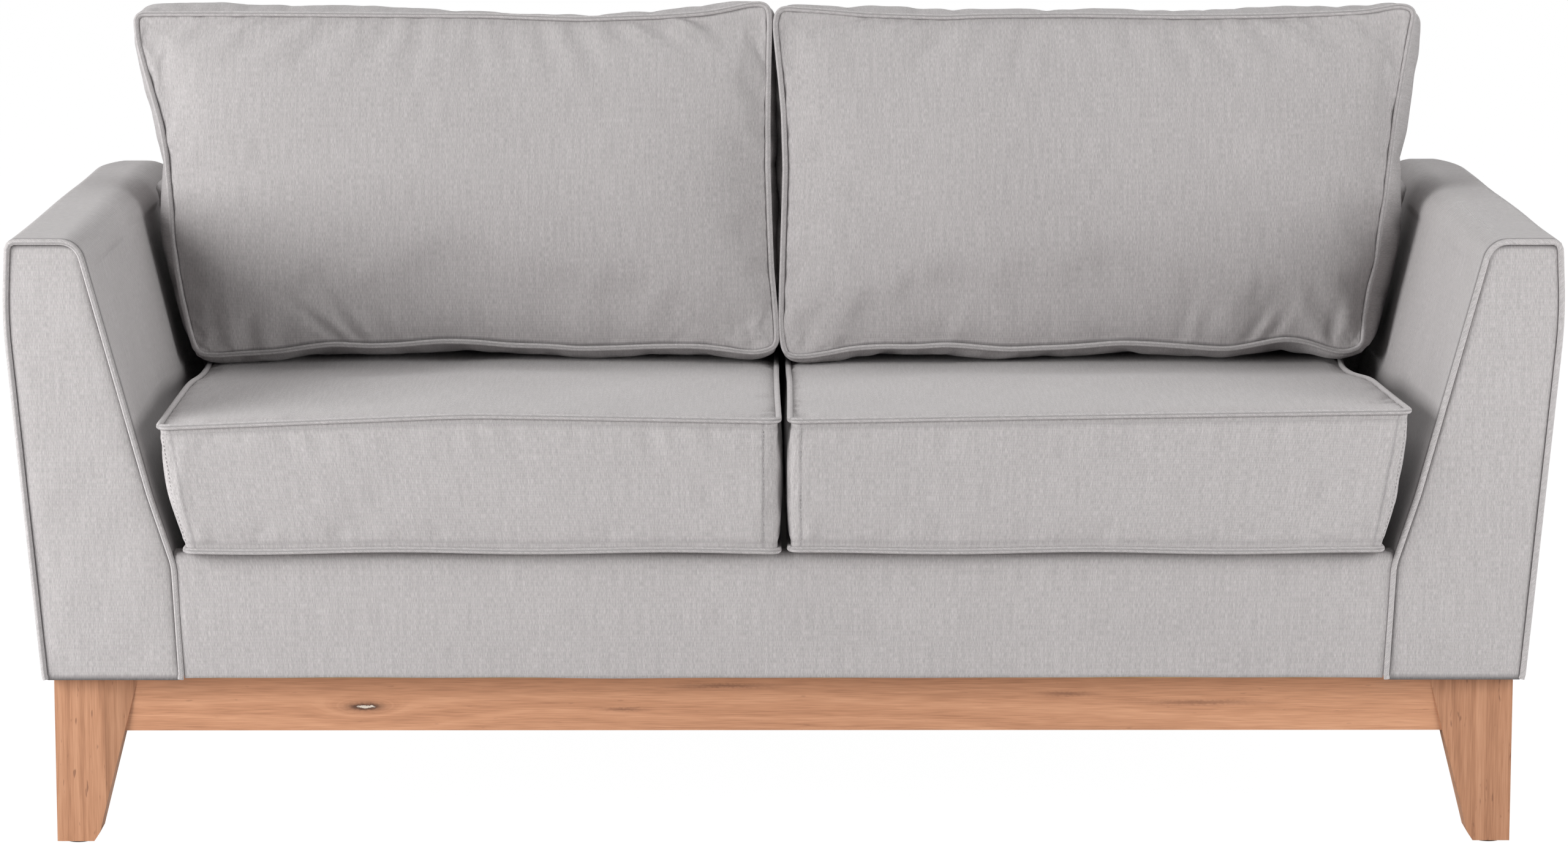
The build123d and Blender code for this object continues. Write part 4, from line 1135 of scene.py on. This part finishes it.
@dataclass
class Cushion:
    """A boxed and piped loose cushion: crowned face, boxing and rear panel."""

    name: str
    body: str
    nodes: tuple[str, ...]
    face: Edges
    rear: Edges
    outward: Array
    face_crown: float
    rear_crown: float
    bulge: Array
    folds: Callable[[Array, Array], Array]
    finishes: Finishes
    seed: int
    stitched: bool = False
    uprights: tuple[float, ...] = ()
    roundness: float = 3.6
    settle: float = 1.0
    puff: float = 0.0
    fullness: float = 0.75
    give: float = 6.0 * MM
    slack: float = 1.0
    rows: int = 19
    cord_radius: float = 3.2 * MM

    def __post_init__(self) -> None:
        """Sew the cushion's starting shape."""
        self.shell = Shell()
        self.centre = (self.face.ring().mean(axis=0) + self.rear.ring().mean(axis=0)) / 2
        face = self._panel(self.face, self.outward, self.face_crown)
        rear = self._panel(self.rear, -self.outward, self.rear_crown)
        self.face_numbers = self.shell.sew(face, face @ self._flat_axes(), self.centre)
        self.shell.sew(rear, rear @ self._flat_axes(), self.centre)
        self.box_numbers = self.shell.sew(*self._boxing(), self.centre)
        # Painted shade round the face panel's seam, beside the piping.
        self.shell.mark_rim(self.face_numbers, (1.0, 0.7))
        if self.stitched:
            # Painted shade in the boxing's topstitch grooves and along the end seams of its front.
            for row in (2, self.rows - 3):
                self.shell.seams.update((int(k), 0.20) for k in self.box_numbers[:, row])
            across = self.face.bottom[:, 0]
            for x in self.uprights:
                column = self.box_numbers[int(np.argmin(np.abs(across - x)))]
                self.shell.seams.update((int(k), 0.38) for k in column[1:-1])
        self.piece = self.shell.piece(self.name, self.finishes.cloth)

    def _flat_axes(self) -> Array:
        """Columns that turn a place on a panel into its flat coordinates."""
        upward = np.cross(self.outward, [1.0, 0.0, 0.0])
        return np.stack((np.array([1.0, 0.0, 0.0]), upward), axis=1)

    def _panel(self, edges: Edges, outward: Array, crown: float) -> Array:
        """Fill one panel and raise its crown.

        Args:
            edges: The panel's edge lines.
            outward: Which way it faces.
            crown: How far its middle stands out, in metres.

        Returns:
            The panel's grid.
        """
        grid = patch(edges.bottom, edges.top, edges.left, edges.right)
        u = self._shares(edges.bottom)[:, None]
        v = self._shares(edges.left)[None]
        dome = (1 - np.abs(2 * u - 1) ** 3.6) * (1 - np.abs(2 * v**self.settle - 1) ** self.roundness)
        width = np.linalg.norm(edges.bottom[-1] - edges.bottom[0])
        height = np.linalg.norm(edges.left[-1] - edges.left[0])
        rim = np.minimum(np.minimum(u, 1 - u) * width, np.minimum(v, 1 - v) * height)
        roll = 2.2 * MM * (1 - np.exp(-rim / (4.5 * MM))) + self.puff * (1 - np.exp(-rim / 0.028))
        lift = crown * dome + roll + (1 - np.exp(-rim / 0.03)) * Ripple(self.seed, 0.21).at(grid) * 1.3 * MM
        lift[0], lift[-1], lift[:, 0], lift[:, -1] = 0, 0, 0, 0
        return grid + lift[..., None] * outward

    def crease(self) -> None:
        """Press the face's folds into the filled cushion."""
        count = len(self.piece.data.vertices)
        places = np.zeros(count * 3, np.float32)
        self.piece.data.vertices.foreach_get("co", places)
        places = places.reshape(-1, 3)
        u = self._shares(self.face.bottom)[:, None] * np.linalg.norm(self.face.bottom[-1] - self.face.bottom[0])
        v = self._shares(self.face.left)[None] * np.linalg.norm(self.face.left[-1] - self.face.left[0])
        lift = self.folds(*np.broadcast_arrays(u, v))
        lift[0], lift[-1], lift[:, 0], lift[:, -1] = 0, 0, 0, 0
        places[self.face_numbers.ravel()] += lift.reshape(-1, 1) * self.outward
        self.piece.data.vertices.foreach_set("co", places.ravel())
        self.piece.data.update()

    @staticmethod
    def _shares(line: Array) -> Array:
        """How far along a line each of its places is, from 0 to 1."""
        along = np.concatenate(([0.0], np.linalg.norm(np.diff(line, axis=0), axis=1).cumsum()))
        return along / along[-1]

    def _boxing(self) -> tuple[Array, Array]:
        """Make the boxing strip between the two seams, with its flat coordinates."""
        front, back = self.face.ring(), self.rear.ring()
        ahead = np.roll(front, -1, 0) - np.roll(front, 1, 0)
        away = np.cross(ahead, self.outward)
        away /= np.linalg.norm(away, axis=1)[:, None]
        share = even_line(np.array([[0.0], [1.0]]), self.rows, 0.62)[:, 0]
        lengths = np.linalg.norm(np.roll(front, -1, 0) - front, axis=1)
        along = np.concatenate(([0.0], lengths.cumsum()))
        depth = np.linalg.norm(front - back, axis=1).mean()
        low = away[:, 2] < -0.7 if self.fullness < 0.6 else np.zeros(len(front), bool)
        arch = np.sin(math.pi * share)[None] ** np.where(low, 0.3, self.fullness)[:, None]
        grid = front[:, None] * (1 - share)[None, :, None] + back[:, None] * share[None, :, None]
        uneven = Ripple(self.seed + 1, 0.045).at(grid) * 1.1 * MM + Ripple(self.seed + 2, 0.14).at(grid) * 1.4 * MM
        uneven = uneven * self.slack
        lift = (self.bulge[:, None] + uneven) * arch
        if self.stitched:
            lift[:, 2] -= 0.9 * MM
            lift[:, -3] -= 0.9 * MM
        grid = grid + lift[..., None] * away[:, None]
        grid[:, 0], grid[:, -1] = front, back
        grid = np.concatenate((grid, grid[:1]))
        flat = np.stack(np.broadcast_arrays(along[:, None], share[None] * depth), axis=2)
        return grid, flat

    def pins(self) -> Array:
        """Numbers of the vertices that the seams, corners and topstitching hold."""
        n, m = self.face_numbers.shape[0] - 1, self.face_numbers.shape[1] - 1
        held = [self.box_numbers[:, 0], self.box_numbers[:, -1]]
        held += [self.box_numbers[k] for k in (0, n, n + m, 2 * n + m)]
        if self.stitched:
            held += [self.box_numbers[:, 2], self.box_numbers[:, -3]]
        return np.unique(np.concatenate(held))

    def row(self, number: int, offset: float) -> Array:
        """A row of the finished boxing, moved out from the middle by offset metres."""
        places = np.array([tuple(self.piece.data.vertices[int(k)].co) for k in self.box_numbers[:-1, number]])
        ahead = np.roll(places, -1, 0) - np.roll(places, 1, 0)
        away = np.cross(ahead, self.outward)
        return places + away / np.linalg.norm(away, axis=1)[:, None] * offset

    def _uprights(self) -> list[Array]:
        """Lines across the front boxing beside its end seams."""
        vertices, lines = self.piece.data.vertices, []
        front = self.box_numbers[: self.face_numbers.shape[0]]
        across = np.array([vertices[int(k)].co.x for k in front[:, self.rows // 2]])
        for x in self.uprights:
            column = front[int(np.argmin(np.abs(across - x)))][2:-2]
            lines.append(np.array([tuple(vertices[int(k)].co) for k in column]) + np.array([0.0, -0.25 * MM, 0.0]))
        return lines

    def finish(self, cord: NodeTree, stitches: NodeTree) -> list[bpy.types.Object]:
        """Round the cushion off, pipe its seams and ride it on its body.

        Args:
            cord: The piping's tree.
            stitches: The stitches' tree.

        Returns:
            The cushion's pieces.
        """
        mesh = self.piece.data
        seams = {frozenset((int(a), int(b))) for k in (0, -1)
                 for a, b in zip(self.box_numbers[:-1, k], self.box_numbers[1:, k])}
        crease = mesh.attributes.new("crease_edge", "FLOAT", "EDGE")
        crease.data.foreach_set("value", [0.8 if frozenset(e.vertices) in seams else 0.0 for e in mesh.edges])
        subdivide(self.piece)
        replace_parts(self.piece, *self.nodes)
        out = 1.5 * MM
        face = self.row(0, out) + self.outward * out
        rear = self.row(self.rows - 1, out) - self.outward * out
        piping = cord.run(
            self.name + "_piping", [face, rear], True, self.finishes.piping, Radius=self.cord_radius, Sides=12,
        )
        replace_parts(piping, self.nodes[-1])
        made = [self.piece, piping]
        if self.stitched:
            rows = [self.row(2, 0.25 * MM), self.row(self.rows - 3, 0.25 * MM)]
            thread = stitches.run(self.name + "_topstitches", rows, True, self.finishes.thread)
            made.append(thread)
            thread = stitches.run(self.name + "_end_stitches", self._uprights(), False, self.finishes.thread)
            made.append(thread)
        for piece in made:
            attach(piece, self.body)
        return made


def named_parts(kind: str, filling: str, side: Side) -> tuple[str, str, tuple[str, ...]]:
    """Name of a cushion's cloth, its body, and the nodes that it stands for."""
    nodes = tuple(f"{kind}_{part}_{side.word}" for part in ("cover", filling, "welts"))
    return f"{side.word}_{kind}_cloth", f"{kind}_{side.word}", nodes


@dataclass
class SeatCushions:
    """The two loose seat cushions."""

    finishes: Finishes
    inner: float = 7.2
    reach_high: float = 661.0
    reach_low: float = 635.0
    front: float = -424.8
    rear: float = 200.8
    top_z: float = 465.1
    base_z: float = 326.1
    crown: float = 2.5
    base_crown: float = 4.0
    rear_sink: float = 12.0
    places: tuple[int, int] = (104, 92)

    def _edges(self, side: Side, reach: float, z: float, ease: Callable[[Array], Array]) -> Edges:
        """Edge lines of a top or base panel.

        Args:
            side: Which cushion.
            reach: Outer edge's distance from the middle.
            z: The panel's height.
            ease: Height change of the front seam by distance from the middle.

        Returns:
            The panel's edges.
        """
        across, deep = self.places
        share = np.linspace(0, 1, 41)
        x = self.inner + (reach - self.inner) * share
        sag = np.sin(math.pi * share)
        front = np.stack((x, self.front + 2.5 * sag, z + ease(x)), axis=1)
        rear = np.stack((x, self.rear - 4.0 * sag, np.full(41, z)), axis=1)
        y = self.front + (self.rear - self.front) * share
        fall = (1 - share) ** 2
        pressed = np.clip((y + 180.0) / 190.0, 0, 1)
        sunk = self.rear_sink * pressed**2 * (3 - 2 * pressed) * (z > 400.0)
        rear[:, 2] -= sunk[-1]
        drawn = {Side.LEFT: (0.0, 3.0, 3.0, 0.0), Side.RIGHT: (0.0, 9.0, 20.0, 8.0)}[side]
        away = reach - np.interp(share, (0.0, 0.4, 0.74, 1.0), drawn)
        outer = np.stack((away, y, z - sunk + ease(np.array([reach])) * fall), axis=1)
        inner = np.stack((self.inner + 1.5 * sag, y, z - sunk + ease(np.array([self.inner])) * fall), axis=1)
        lines = [soft_line(front, across, 0.6, 40), soft_line(rear, across, 0.6, 2)]
        lines += [soft_line(inner, deep, 0.6, 2), soft_line(outer, deep, 0.6, 30)]
        if side is Side.LEFT:
            lines = [line * np.array([-1.0, 1.0, 1.0]) for line in lines]
            lines = [lines[0][::-1], lines[1][::-1], lines[3], lines[2]]
        return Edges(*(line * MM for line in lines)).rounded(12 * MM)

    def make(self, side: Side) -> Cushion:
        """Make one seat cushion's starting shape."""
        heights = {Side.LEFT: (-1.0, 4.5, -8.0), Side.RIGHT: (-1.0, 4.0, 9.0)}[side]

        def top_ease(x: Array) -> Array:
            """Height of the front top seam over the panel's."""
            return np.interp(x, (self.inner, 334.0, self.reach_high), heights)

        def base_ease(x: Array) -> Array:
            """Small waves of the front base seam."""
            return 1.5 + 1.2 * np.sin(x / 47.0 + side.value)

        face = self._edges(side, self.reach_high, self.top_z, top_ease)
        rear = self._edges(side, self.reach_low, self.base_z, base_ease)
        bulge = np.full(len(face.ring()), 3.0 * MM)
        n, m = len(face.bottom) - 1, len(face.left) - 1
        between = slice(n, n + m) if side is Side.LEFT else slice(2 * n + m, None)
        beside = slice(2 * n + m, None) if side is Side.LEFT else slice(n, n + m)
        bulge[between] = 5.5 * MM * np.sin(math.pi * np.linspace(0, 1, m)) ** 0.3
        bulge[beside] = 6.0 * MM
        near = np.abs(face.ring()[:n, 0]) / MM - (self.reach_high - 40.0)
        bulge[:n] += 2.5 * MM * np.clip(near / 40.0, 0, 1) ** 2
        pucker = Ripple(61 + side.value, 0.06, axes=2)

        def folds(u: Array, v: Array) -> Array:
            """Short puckers behind the front seam."""
            near = np.exp(-v / 0.03) * (1 - np.exp(-v / 0.008))
            return near * pucker.at(np.stack((u, v * 0.25), axis=2)) * 1.1 * MM

        return Cushion(
            *named_parts("seat_cushion", "core", side), face, rear, np.array([0.0, 0.0, 1.0]),
            self.crown * MM, self.base_crown * MM, bulge, folds, self.finishes, 70 + side.value, stitched=True,
            uprights={Side.LEFT: (-0.0237, -0.6515), Side.RIGHT: (0.0165, 0.6515)}[side], give=1.6 * MM, slack=0.45,
        )


@dataclass
class BackCushions:
    """The two loose back cushions, leaning on the back, with their uneven seams."""

    finishes: Finishes
    recline: float = 14.0
    foot: tuple[float, float] = (32.5, 479.9)
    thickness: float = 158.0
    rear_rise: float = 16.0
    crown: float = 33.0
    rear_crown: float = 3.0
    puff: float = 7.0
    bottom_bulge: float = 14.0
    places: tuple[int, int] = (118, 68)

    def _lines(self, side: Side) -> dict[str, Sequence[tuple[float, float]]]:
        """Control places of the front seam: across and up the cushion's face, in millimetres."""
        if side is Side.LEFT:
            return {
                "bottom": (
                    (-668, -7), (-652, -9), (-614, -6), (-574, -4), (-546, 1), (-514, 5), (-473, 2), (-433, 4),
                    (-392, 8), (-352, 7), (-312, 3), (-265, 2), (-236, -1), (-193, 0), (-142, 2), (-94, 2),
                    (-60, -2), (-34, -6), (-20, -5), (-8, 1),
                ),
                "top": (
                    (-743, 384), (-600, 384), (-470, 383), (-336, 382), (-233, 378), (-142, 381), (-86, 385),
                    (-60, 390), (-39, 395), (-27, 398), (-17, 395),
                ),
                "left": (
                    (-668, -7), (-675, 11), (-681, 35), (-687, 60), (-693, 92), (-698, 125), (-700, 158),
                    (-703, 190), (-706, 222), (-712, 255), (-721, 287), (-731, 320), (-740, 353), (-743, 384),
                ),
                "right": (
                    (-8, 1), (-8, 20), (-10, 45), (-14, 90), (-16, 141), (-18, 206), (-18, 271), (-17, 336),
                    (-16, 375), (-17, 395),
                ),
            }
        return {
            "bottom": (
                (5, -9), (22, -11), (52, -6), (82, 0), (121, 2), (151, 1), (189, 4), (224, 1), (258, -2),
                (296, 0), (329, 1), (389, 6), (430, 4), (470, 1), (510, -2), (543, 4), (575, 11), (603, 7),
                (632, -4), (651, -6), (664, 2),
            ),
            "top": (
                (-3, 391), (9, 390), (53, 387), (96, 383), (191, 380), (225, 382), (341, 383), (453, 381),
                (555, 382), (636, 385), (676, 387), (709, 394), (721, 396), (728, 390),
            ),
            "left": (
                (5, -9), (1, 8), (0, 33), (1, 76), (3, 141), (5, 206), (3, 271), (-1, 315), (-5, 354),
                (-7, 375), (-3, 391),
            ),
            "right": (
                (664, 2), (666, 34), (672, 67), (681, 99), (685, 132), (692, 173), (698, 221), (705, 270),
                (714, 320), (722, 361), (728, 390),
            ),
        }

    def place(self, line: Array, depth: Array | float) -> Array:
        """Stand face places up in the row frame.

        Args:
            line: Across and up the face, in millimetres.
            depth: How far behind the face, in millimetres.

        Returns:
            Places in metres.
        """
        tilt = math.radians(self.recline)
        y = self.foot[0] + line[..., 1] * math.sin(tilt) + depth * math.cos(tilt)
        z = self.foot[1] + line[..., 1] * math.cos(tilt) - depth * math.sin(tilt)
        return np.stack((line[..., 0], y, z), axis=-1) * MM

    def make(self, side: Side) -> Cushion:
        """Make one back cushion's starting shape."""
        across, up = self.places
        counts = {"bottom": across, "top": across, "left": up, "right": up}
        controls = self._lines(side)
        front = {key: soft_line(np.array(controls[key], float), count, 0.6, 12) for key, count in counts.items()}
        lift = self.thickness * math.tan(math.radians(self.recline))
        behind: dict[str, Array] = {}
        for key, line in front.items():
            share = np.clip(line[:, 1] / 382.0, 0, 1)
            calm = line.copy()
            steady = np.where(share > 0.5, 382.0 + self.rear_rise, lift)
            if key in ("bottom", "top"):
                calm[:, 1] = steady + 0.25 * (line[:, 1] - np.where(share > 0.5, 382.0, 0.0))
            else:
                span = np.linspace(0, 1, len(line))
                low, high = 0.25 * line[0, 1], 0.25 * (line[-1, 1] - 382.0)
                rise = self._share(line)
                calm[:, 1] = (lift + low) * (1 - rise) + (382 + self.rear_rise + high) * rise
                calm[:, 0] = line[0, 0] + (line[-1, 0] - line[0, 0]) * rise + 2 * np.sin(math.pi * span)
            behind[key] = calm
        face = Edges(*(self.place(line, 0.0) for line in front.values())).rounded(12 * MM)
        rear = Edges(*(self.place(line, self.thickness) for line in behind.values())).rounded(14 * MM)
        tilt = math.radians(self.recline)
        outward = np.array([0.0, -math.cos(tilt), math.sin(tilt)])
        bulge = self._bulge(side, face)
        pucker = Ripple(81 + side.value, 0.052, axes=2)
        creases = self._creases(side)
        foot_x = front["bottom"][0, 0] * MM

        def folds(u: Array, v: Array) -> Array:
            """Creases that rise from the bottom seam, and small puckers along the others."""
            height = 0.382
            lift = np.exp(-v / 0.03) * pucker.at(np.stack((u, v * 0.22), axis=2)) * 1.2 * MM
            lift += np.exp(-np.abs(height - v) / 0.025) * pucker.at(np.stack((u, v * 0.2 + 0.4), axis=2)) * 1.0 * MM
            for x, lean, length, depth, width in creases:
                off = (u - (x * MM - foot_x) - lean * v) / (width * MM)
                fade = np.exp(-((v / (length * MM)) ** 2)) * (1 - np.exp(-v / (7 * MM)))
                lift += depth * MM * fade * (0.75 * np.exp(-((off - 1.7) ** 2)) - np.exp(-(off**2)))
            return lift

        return Cushion(
            *named_parts("back_cushion", "fill", side), face, rear, outward,
            self.crown * MM, self.rear_crown * MM, bulge, folds, self.finishes, 90 + side.value,
            roundness=2.0, settle=0.74, puff=self.puff * MM, fullness=0.5,
        )

    @staticmethod
    def _share(line: Array) -> Array:
        """How far up a side line each place is, from 0 to 1."""
        return (line[:, 1] - line[0, 1]) / (line[-1, 1] - line[0, 1])

    @staticmethod
    def _creases(side: Side) -> Sequence[tuple[float, float, float, float, float]]:
        """Each crease over the bottom seam: place, lean, length, depth and width, in millimetres."""
        if side is Side.LEFT:
            return (
                (-505, -0.85, 44, 4.6, 7), (-484, -0.4, 50, 4.8, 7), (-450, -0.2, 42, 2.5, 8), (-346, -0.25,
                36, 3.0, 8),
                (-248, -0.4, 34, 2.0, 9), (-640, 0.1, 60, 2.6, 10), (-34, -0.5, 45, 3.2, 8),
            )
        return (
            (184, 0.35, 38, 4.5, 7), (110, -0.2, 36, 1.8, 10), (452, 0.15, 42, 4.2, 7), (470, 0.4, 44, 2.2, 8),
            (528, 0.5, 28, 4.0, 7), (556, 0.4, 24, 2.0, 7), (622, 0.05, 45, 3.0, 8), (648, 0.0, 35, 2.4, 8),
            (22, 0.5, 40, 3.0, 8), (300, 0.1, 38, 1.6, 10),
        )

    def _bulge(self, side: Side, face: Edges) -> Array:
        """How far the boxing stands out beyond the front seam, round the cushion."""
        ring = face.ring()
        n, m = len(face.bottom) - 1, len(face.left) - 1
        inner = 7.0
        bulge = np.full(len(ring), self.bottom_bulge)
        tops = {
            Side.LEFT: ((-743, -500, -414, -330, -245, -160, -75, -20), (15, 13, 8, 4, 3, 8, 12, 9)),
            Side.RIGHT: ((0, 137, 306, 476, 603, 728), (10, 11, 8, 10, 11, 9)),
        }[side]
        full = {Side.LEFT: (12.0, 15.0, 22.0, 10.0, 9.0), Side.RIGHT: (20.0, 26.0, 30.0, 18.0, 16.0)}[side]
        outer = np.interp((ring[:, 2] - ring[:, 2].min()) / MM, (0.0, 60.0, 140.0, 215.0, 380.0), full)
        bulge[n: n + m] = inner if side is Side.LEFT else outer[n: n + m]
        bulge[n + m: 2 * n + m] = np.interp(ring[n + m: 2 * n + m, 0] / MM, *tops)
        bulge[2 * n + m:] = outer[2 * n + m:] if side is Side.LEFT else inner
        for _ in range(4):
            bulge = (np.roll(bulge, 1) + 2 * bulge + np.roll(bulge, -1)) / 4
        return bulge * MM


@dataclass
class Filling:
    """Blows the cushions up as cloth against their seams."""

    pressure: float = 2.5
    spare: float = -0.016
    frames: int = 14

    def blow(self, cushions: Sequence[Cushion]) -> None:
        """Run one cloth simulation for all cushions and keep its result.

        Args:
            cushions: The cushions, in their starting shapes.
        """
        scene = bpy.context.scene
        scene.frame_start, scene.frame_end = 1, self.frames
        for cushion in cushions:
            piece = cushion.piece
            group = piece.vertex_groups.new(name="seams")
            group.add([int(k) for k in cushion.pins()], 1.0, "REPLACE")
            cloth = piece.modifiers.new("cloth", "CLOTH")
            cloth.point_cache.frame_start, cloth.point_cache.frame_end = 1, self.frames
            own = cloth.settings
            own.vertex_group_mass, own.quality, own.mass = "seams", 4, 0.25
            own.tension_stiffness = own.compression_stiffness = 12.0
            own.shear_stiffness, own.bending_stiffness = 5.0, 0.4
            own.use_pressure, own.uniform_pressure_force = True, self.pressure
            own.shrink_min, own.effector_weights.gravity = self.spare, 0.0
            cloth.collision_settings.use_collision = False
        for number in range(1, self.frames + 1):
            scene.frame_set(number)
        view = bpy.context.evaluated_depsgraph_get()
        for cushion in cushions:
            self._keep(cushion, view)
        scene.frame_set(1)

    def _keep(self, cushion: Cushion, view: bpy.types.Depsgraph) -> None:
        """Write the simulated places into the cushion's mesh, none moved past its give."""
        piece = cushion.piece
        count = len(piece.data.vertices)
        before, after = np.zeros(count * 3, np.float32), np.zeros(count * 3, np.float32)
        piece.data.vertices.foreach_get("co", before)
        piece.evaluated_get(view).data.vertices.foreach_get("co", after)
        before, after = before.reshape(-1, 3), after.reshape(-1, 3)
        move = after - before
        length = np.linalg.norm(move, axis=1)
        move *= (np.tanh(length / cushion.give) * cushion.give / np.maximum(length, 1e-9))[:, None]
        piece.modifiers.remove(piece.modifiers["cloth"])
        piece.vertex_groups.clear()
        piece.data.vertices.foreach_set("co", (before + move).ravel())
        piece.data.update()
        LOG.info("%s moved up to %.1f mm", cushion.name, float(length.max()) / MM)


# Studio.


@dataclass
class Studio:
    """Camera, lamps, floor and background."""

    camera_place: tuple[float, float, float] = (-0.0272, -5.7645, 1.2979)
    turn: float = math.radians(0.288)
    tilt: float = math.radians(8.885)
    roll: float = math.radians(0.033)
    lens: float = 117.32
    world_level: float = 0.07
    floor_glow: float = 0.93
    floor_colour: Rgb = (0.86, 0.86, 0.86)
    floor_emission: float = 1.07
    floor_reach: float = 60.0
    aim: tuple[float, float, float] = (0.0, 0.0, 0.45)

    def build(self) -> None:
        """Set up the scene round the sofa."""
        self._camera()
        self._floor()
        self._world()
        self._lamp("left", (-3.2, -2.0, 1.5), 2.2, 155.0)
        self._lamp("right", (2.3, -1.65, 1.28), 1.8, 49.0)
        self._lamp("top", (0.0, 1.4, 4.0), 2.6, 73.0)
        bpy.context.scene.view_settings.view_transform = "Standard"

    def _camera(self) -> None:
        """Stand the camera where the photograph was taken from."""
        data = bpy.data.cameras.new("camera")
        data.lens, data.sensor_width, data.clip_end = self.lens, 36.0, 200.0
        camera = bpy.data.objects.new("camera", data)
        ahead = Vector((
            math.sin(self.turn) * math.cos(self.tilt), math.cos(self.turn) * math.cos(self.tilt),
            -math.sin(self.tilt),
        ))
        right = Vector((math.cos(self.turn), -math.sin(self.turn), 0.0))
        above = right.cross(ahead)
        rolled = right * math.cos(self.roll) + above * math.sin(self.roll)
        above = above * math.cos(self.roll) - right * math.sin(self.roll)
        axes = Matrix((rolled, above, -ahead)).transposed().to_4x4()
        camera.matrix_world = Matrix.Translation(self.camera_place) @ axes
        bpy.context.scene.collection.objects.link(camera)
        bpy.context.scene.camera = camera

    def _floor(self) -> None:
        """Lay a pale floor that keeps a soft shadow."""
        mesh = bpy.data.meshes.new("studio_floor")
        reach = self.floor_reach
        corners = [(-reach, -reach, 0), (reach, -reach, 0), (reach, reach, 0), (-reach, reach, 0)]
        mesh.from_pydata(corners, [], [(0, 1, 2, 3)])
        floor = bpy.data.objects.new("studio_floor", mesh)
        bpy.context.scene.collection.objects.link(floor)
        paint = bpy.data.materials.new("studio_floor_paint")
        paint.use_nodes = True
        tree = paint.node_tree
        tree.nodes.clear()
        matt = wired(tree, "ShaderNodeBsdfDiffuse", {"Color": (*self.floor_colour, 1)}).outputs[0]
        glow = wired(tree, "ShaderNodeEmission", {"Strength": self.floor_emission}).outputs[0]
        seen = wired(tree, "ShaderNodeLightPath", {}).outputs["Is Camera Ray"]
        share = wired(tree, "ShaderNodeMath", {0: seen, 1: self.floor_glow}, operation="MULTIPLY").outputs[0]
        both = wired(tree, "ShaderNodeMixShader", {0: share, 1: matt, 2: glow}).outputs[0]
        wired(tree, "ShaderNodeOutputMaterial", {"Surface": both})
        mesh.materials.append(paint)

    def _world(self) -> None:
        """Light all round at a plain level, and show white behind."""
        world = bpy.data.worlds.new("studio")
        bpy.context.scene.world = world
        world.use_nodes = True
        tree = world.node_tree
        tree.nodes.clear()
        seen = wired(tree, "ShaderNodeLightPath", {}).outputs
        rays = {0: seen["Is Camera Ray"], 1: seen["Is Glossy Ray"]}
        show = wired(tree, "ShaderNodeMath", rays, operation="ADD", use_clamp=True).outputs[0]
        light, shown = (
            wired(tree, "ShaderNodeBackground", {"Color": (1, 1, 1, 1), "Strength": level}).outputs[0]
            for level in (self.world_level, 1.0)
        )
        both = wired(tree, "ShaderNodeMixShader", {0: show, 1: light, 2: shown}).outputs[0]
        wired(tree, "ShaderNodeOutputWorld", {"Surface": both})

    def _lamp(self, name: str, place: tuple[float, float, float], size: float, power: float) -> None:
        """Hang a soft lamp that points at the sofa's middle."""
        data = bpy.data.lights.new(name, "AREA")
        data.shape, data.size, data.energy = "SQUARE", size, power
        lamp = bpy.data.objects.new(name, data)
        lamp.location = place
        lamp.rotation_euler = (Vector(self.aim) - Vector(place)).to_track_quat("-Z", "Y").to_euler()
        bpy.context.scene.collection.objects.link(lamp)


def main() -> None:
    """Build the sofa's looks in order and report each piece."""
    logging.basicConfig(level=logging.INFO, format="%(name)s: %(message)s")
    Studio().build()
    finishes = Finishes()
    cord, stitches = piping_tree(), stitch_tree()
    Woodwork(finishes).dress()
    arms = [Arm(side, finishes, cord) for side in Side]
    for arm in arms:
        for piece in arm.build():
            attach(piece, "frame")
            LOG.info("made %s", piece.name)
    for piece in Body(finishes, arms[1], stitches).build():
        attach(piece, "frame")
        LOG.info("made %s", piece.name)
    seats, backs = SeatCushions(finishes), BackCushions(finishes)
    cushions = [maker.make(side) for maker in (seats, backs) for side in Side]
    Filling().blow(cushions)
    for cushion in cushions:
        cushion.crease()
        for piece in cushion.finish(cord, stitches):
            LOG.info("made %s", piece.name)


if __name__ == "__main__":
    main()
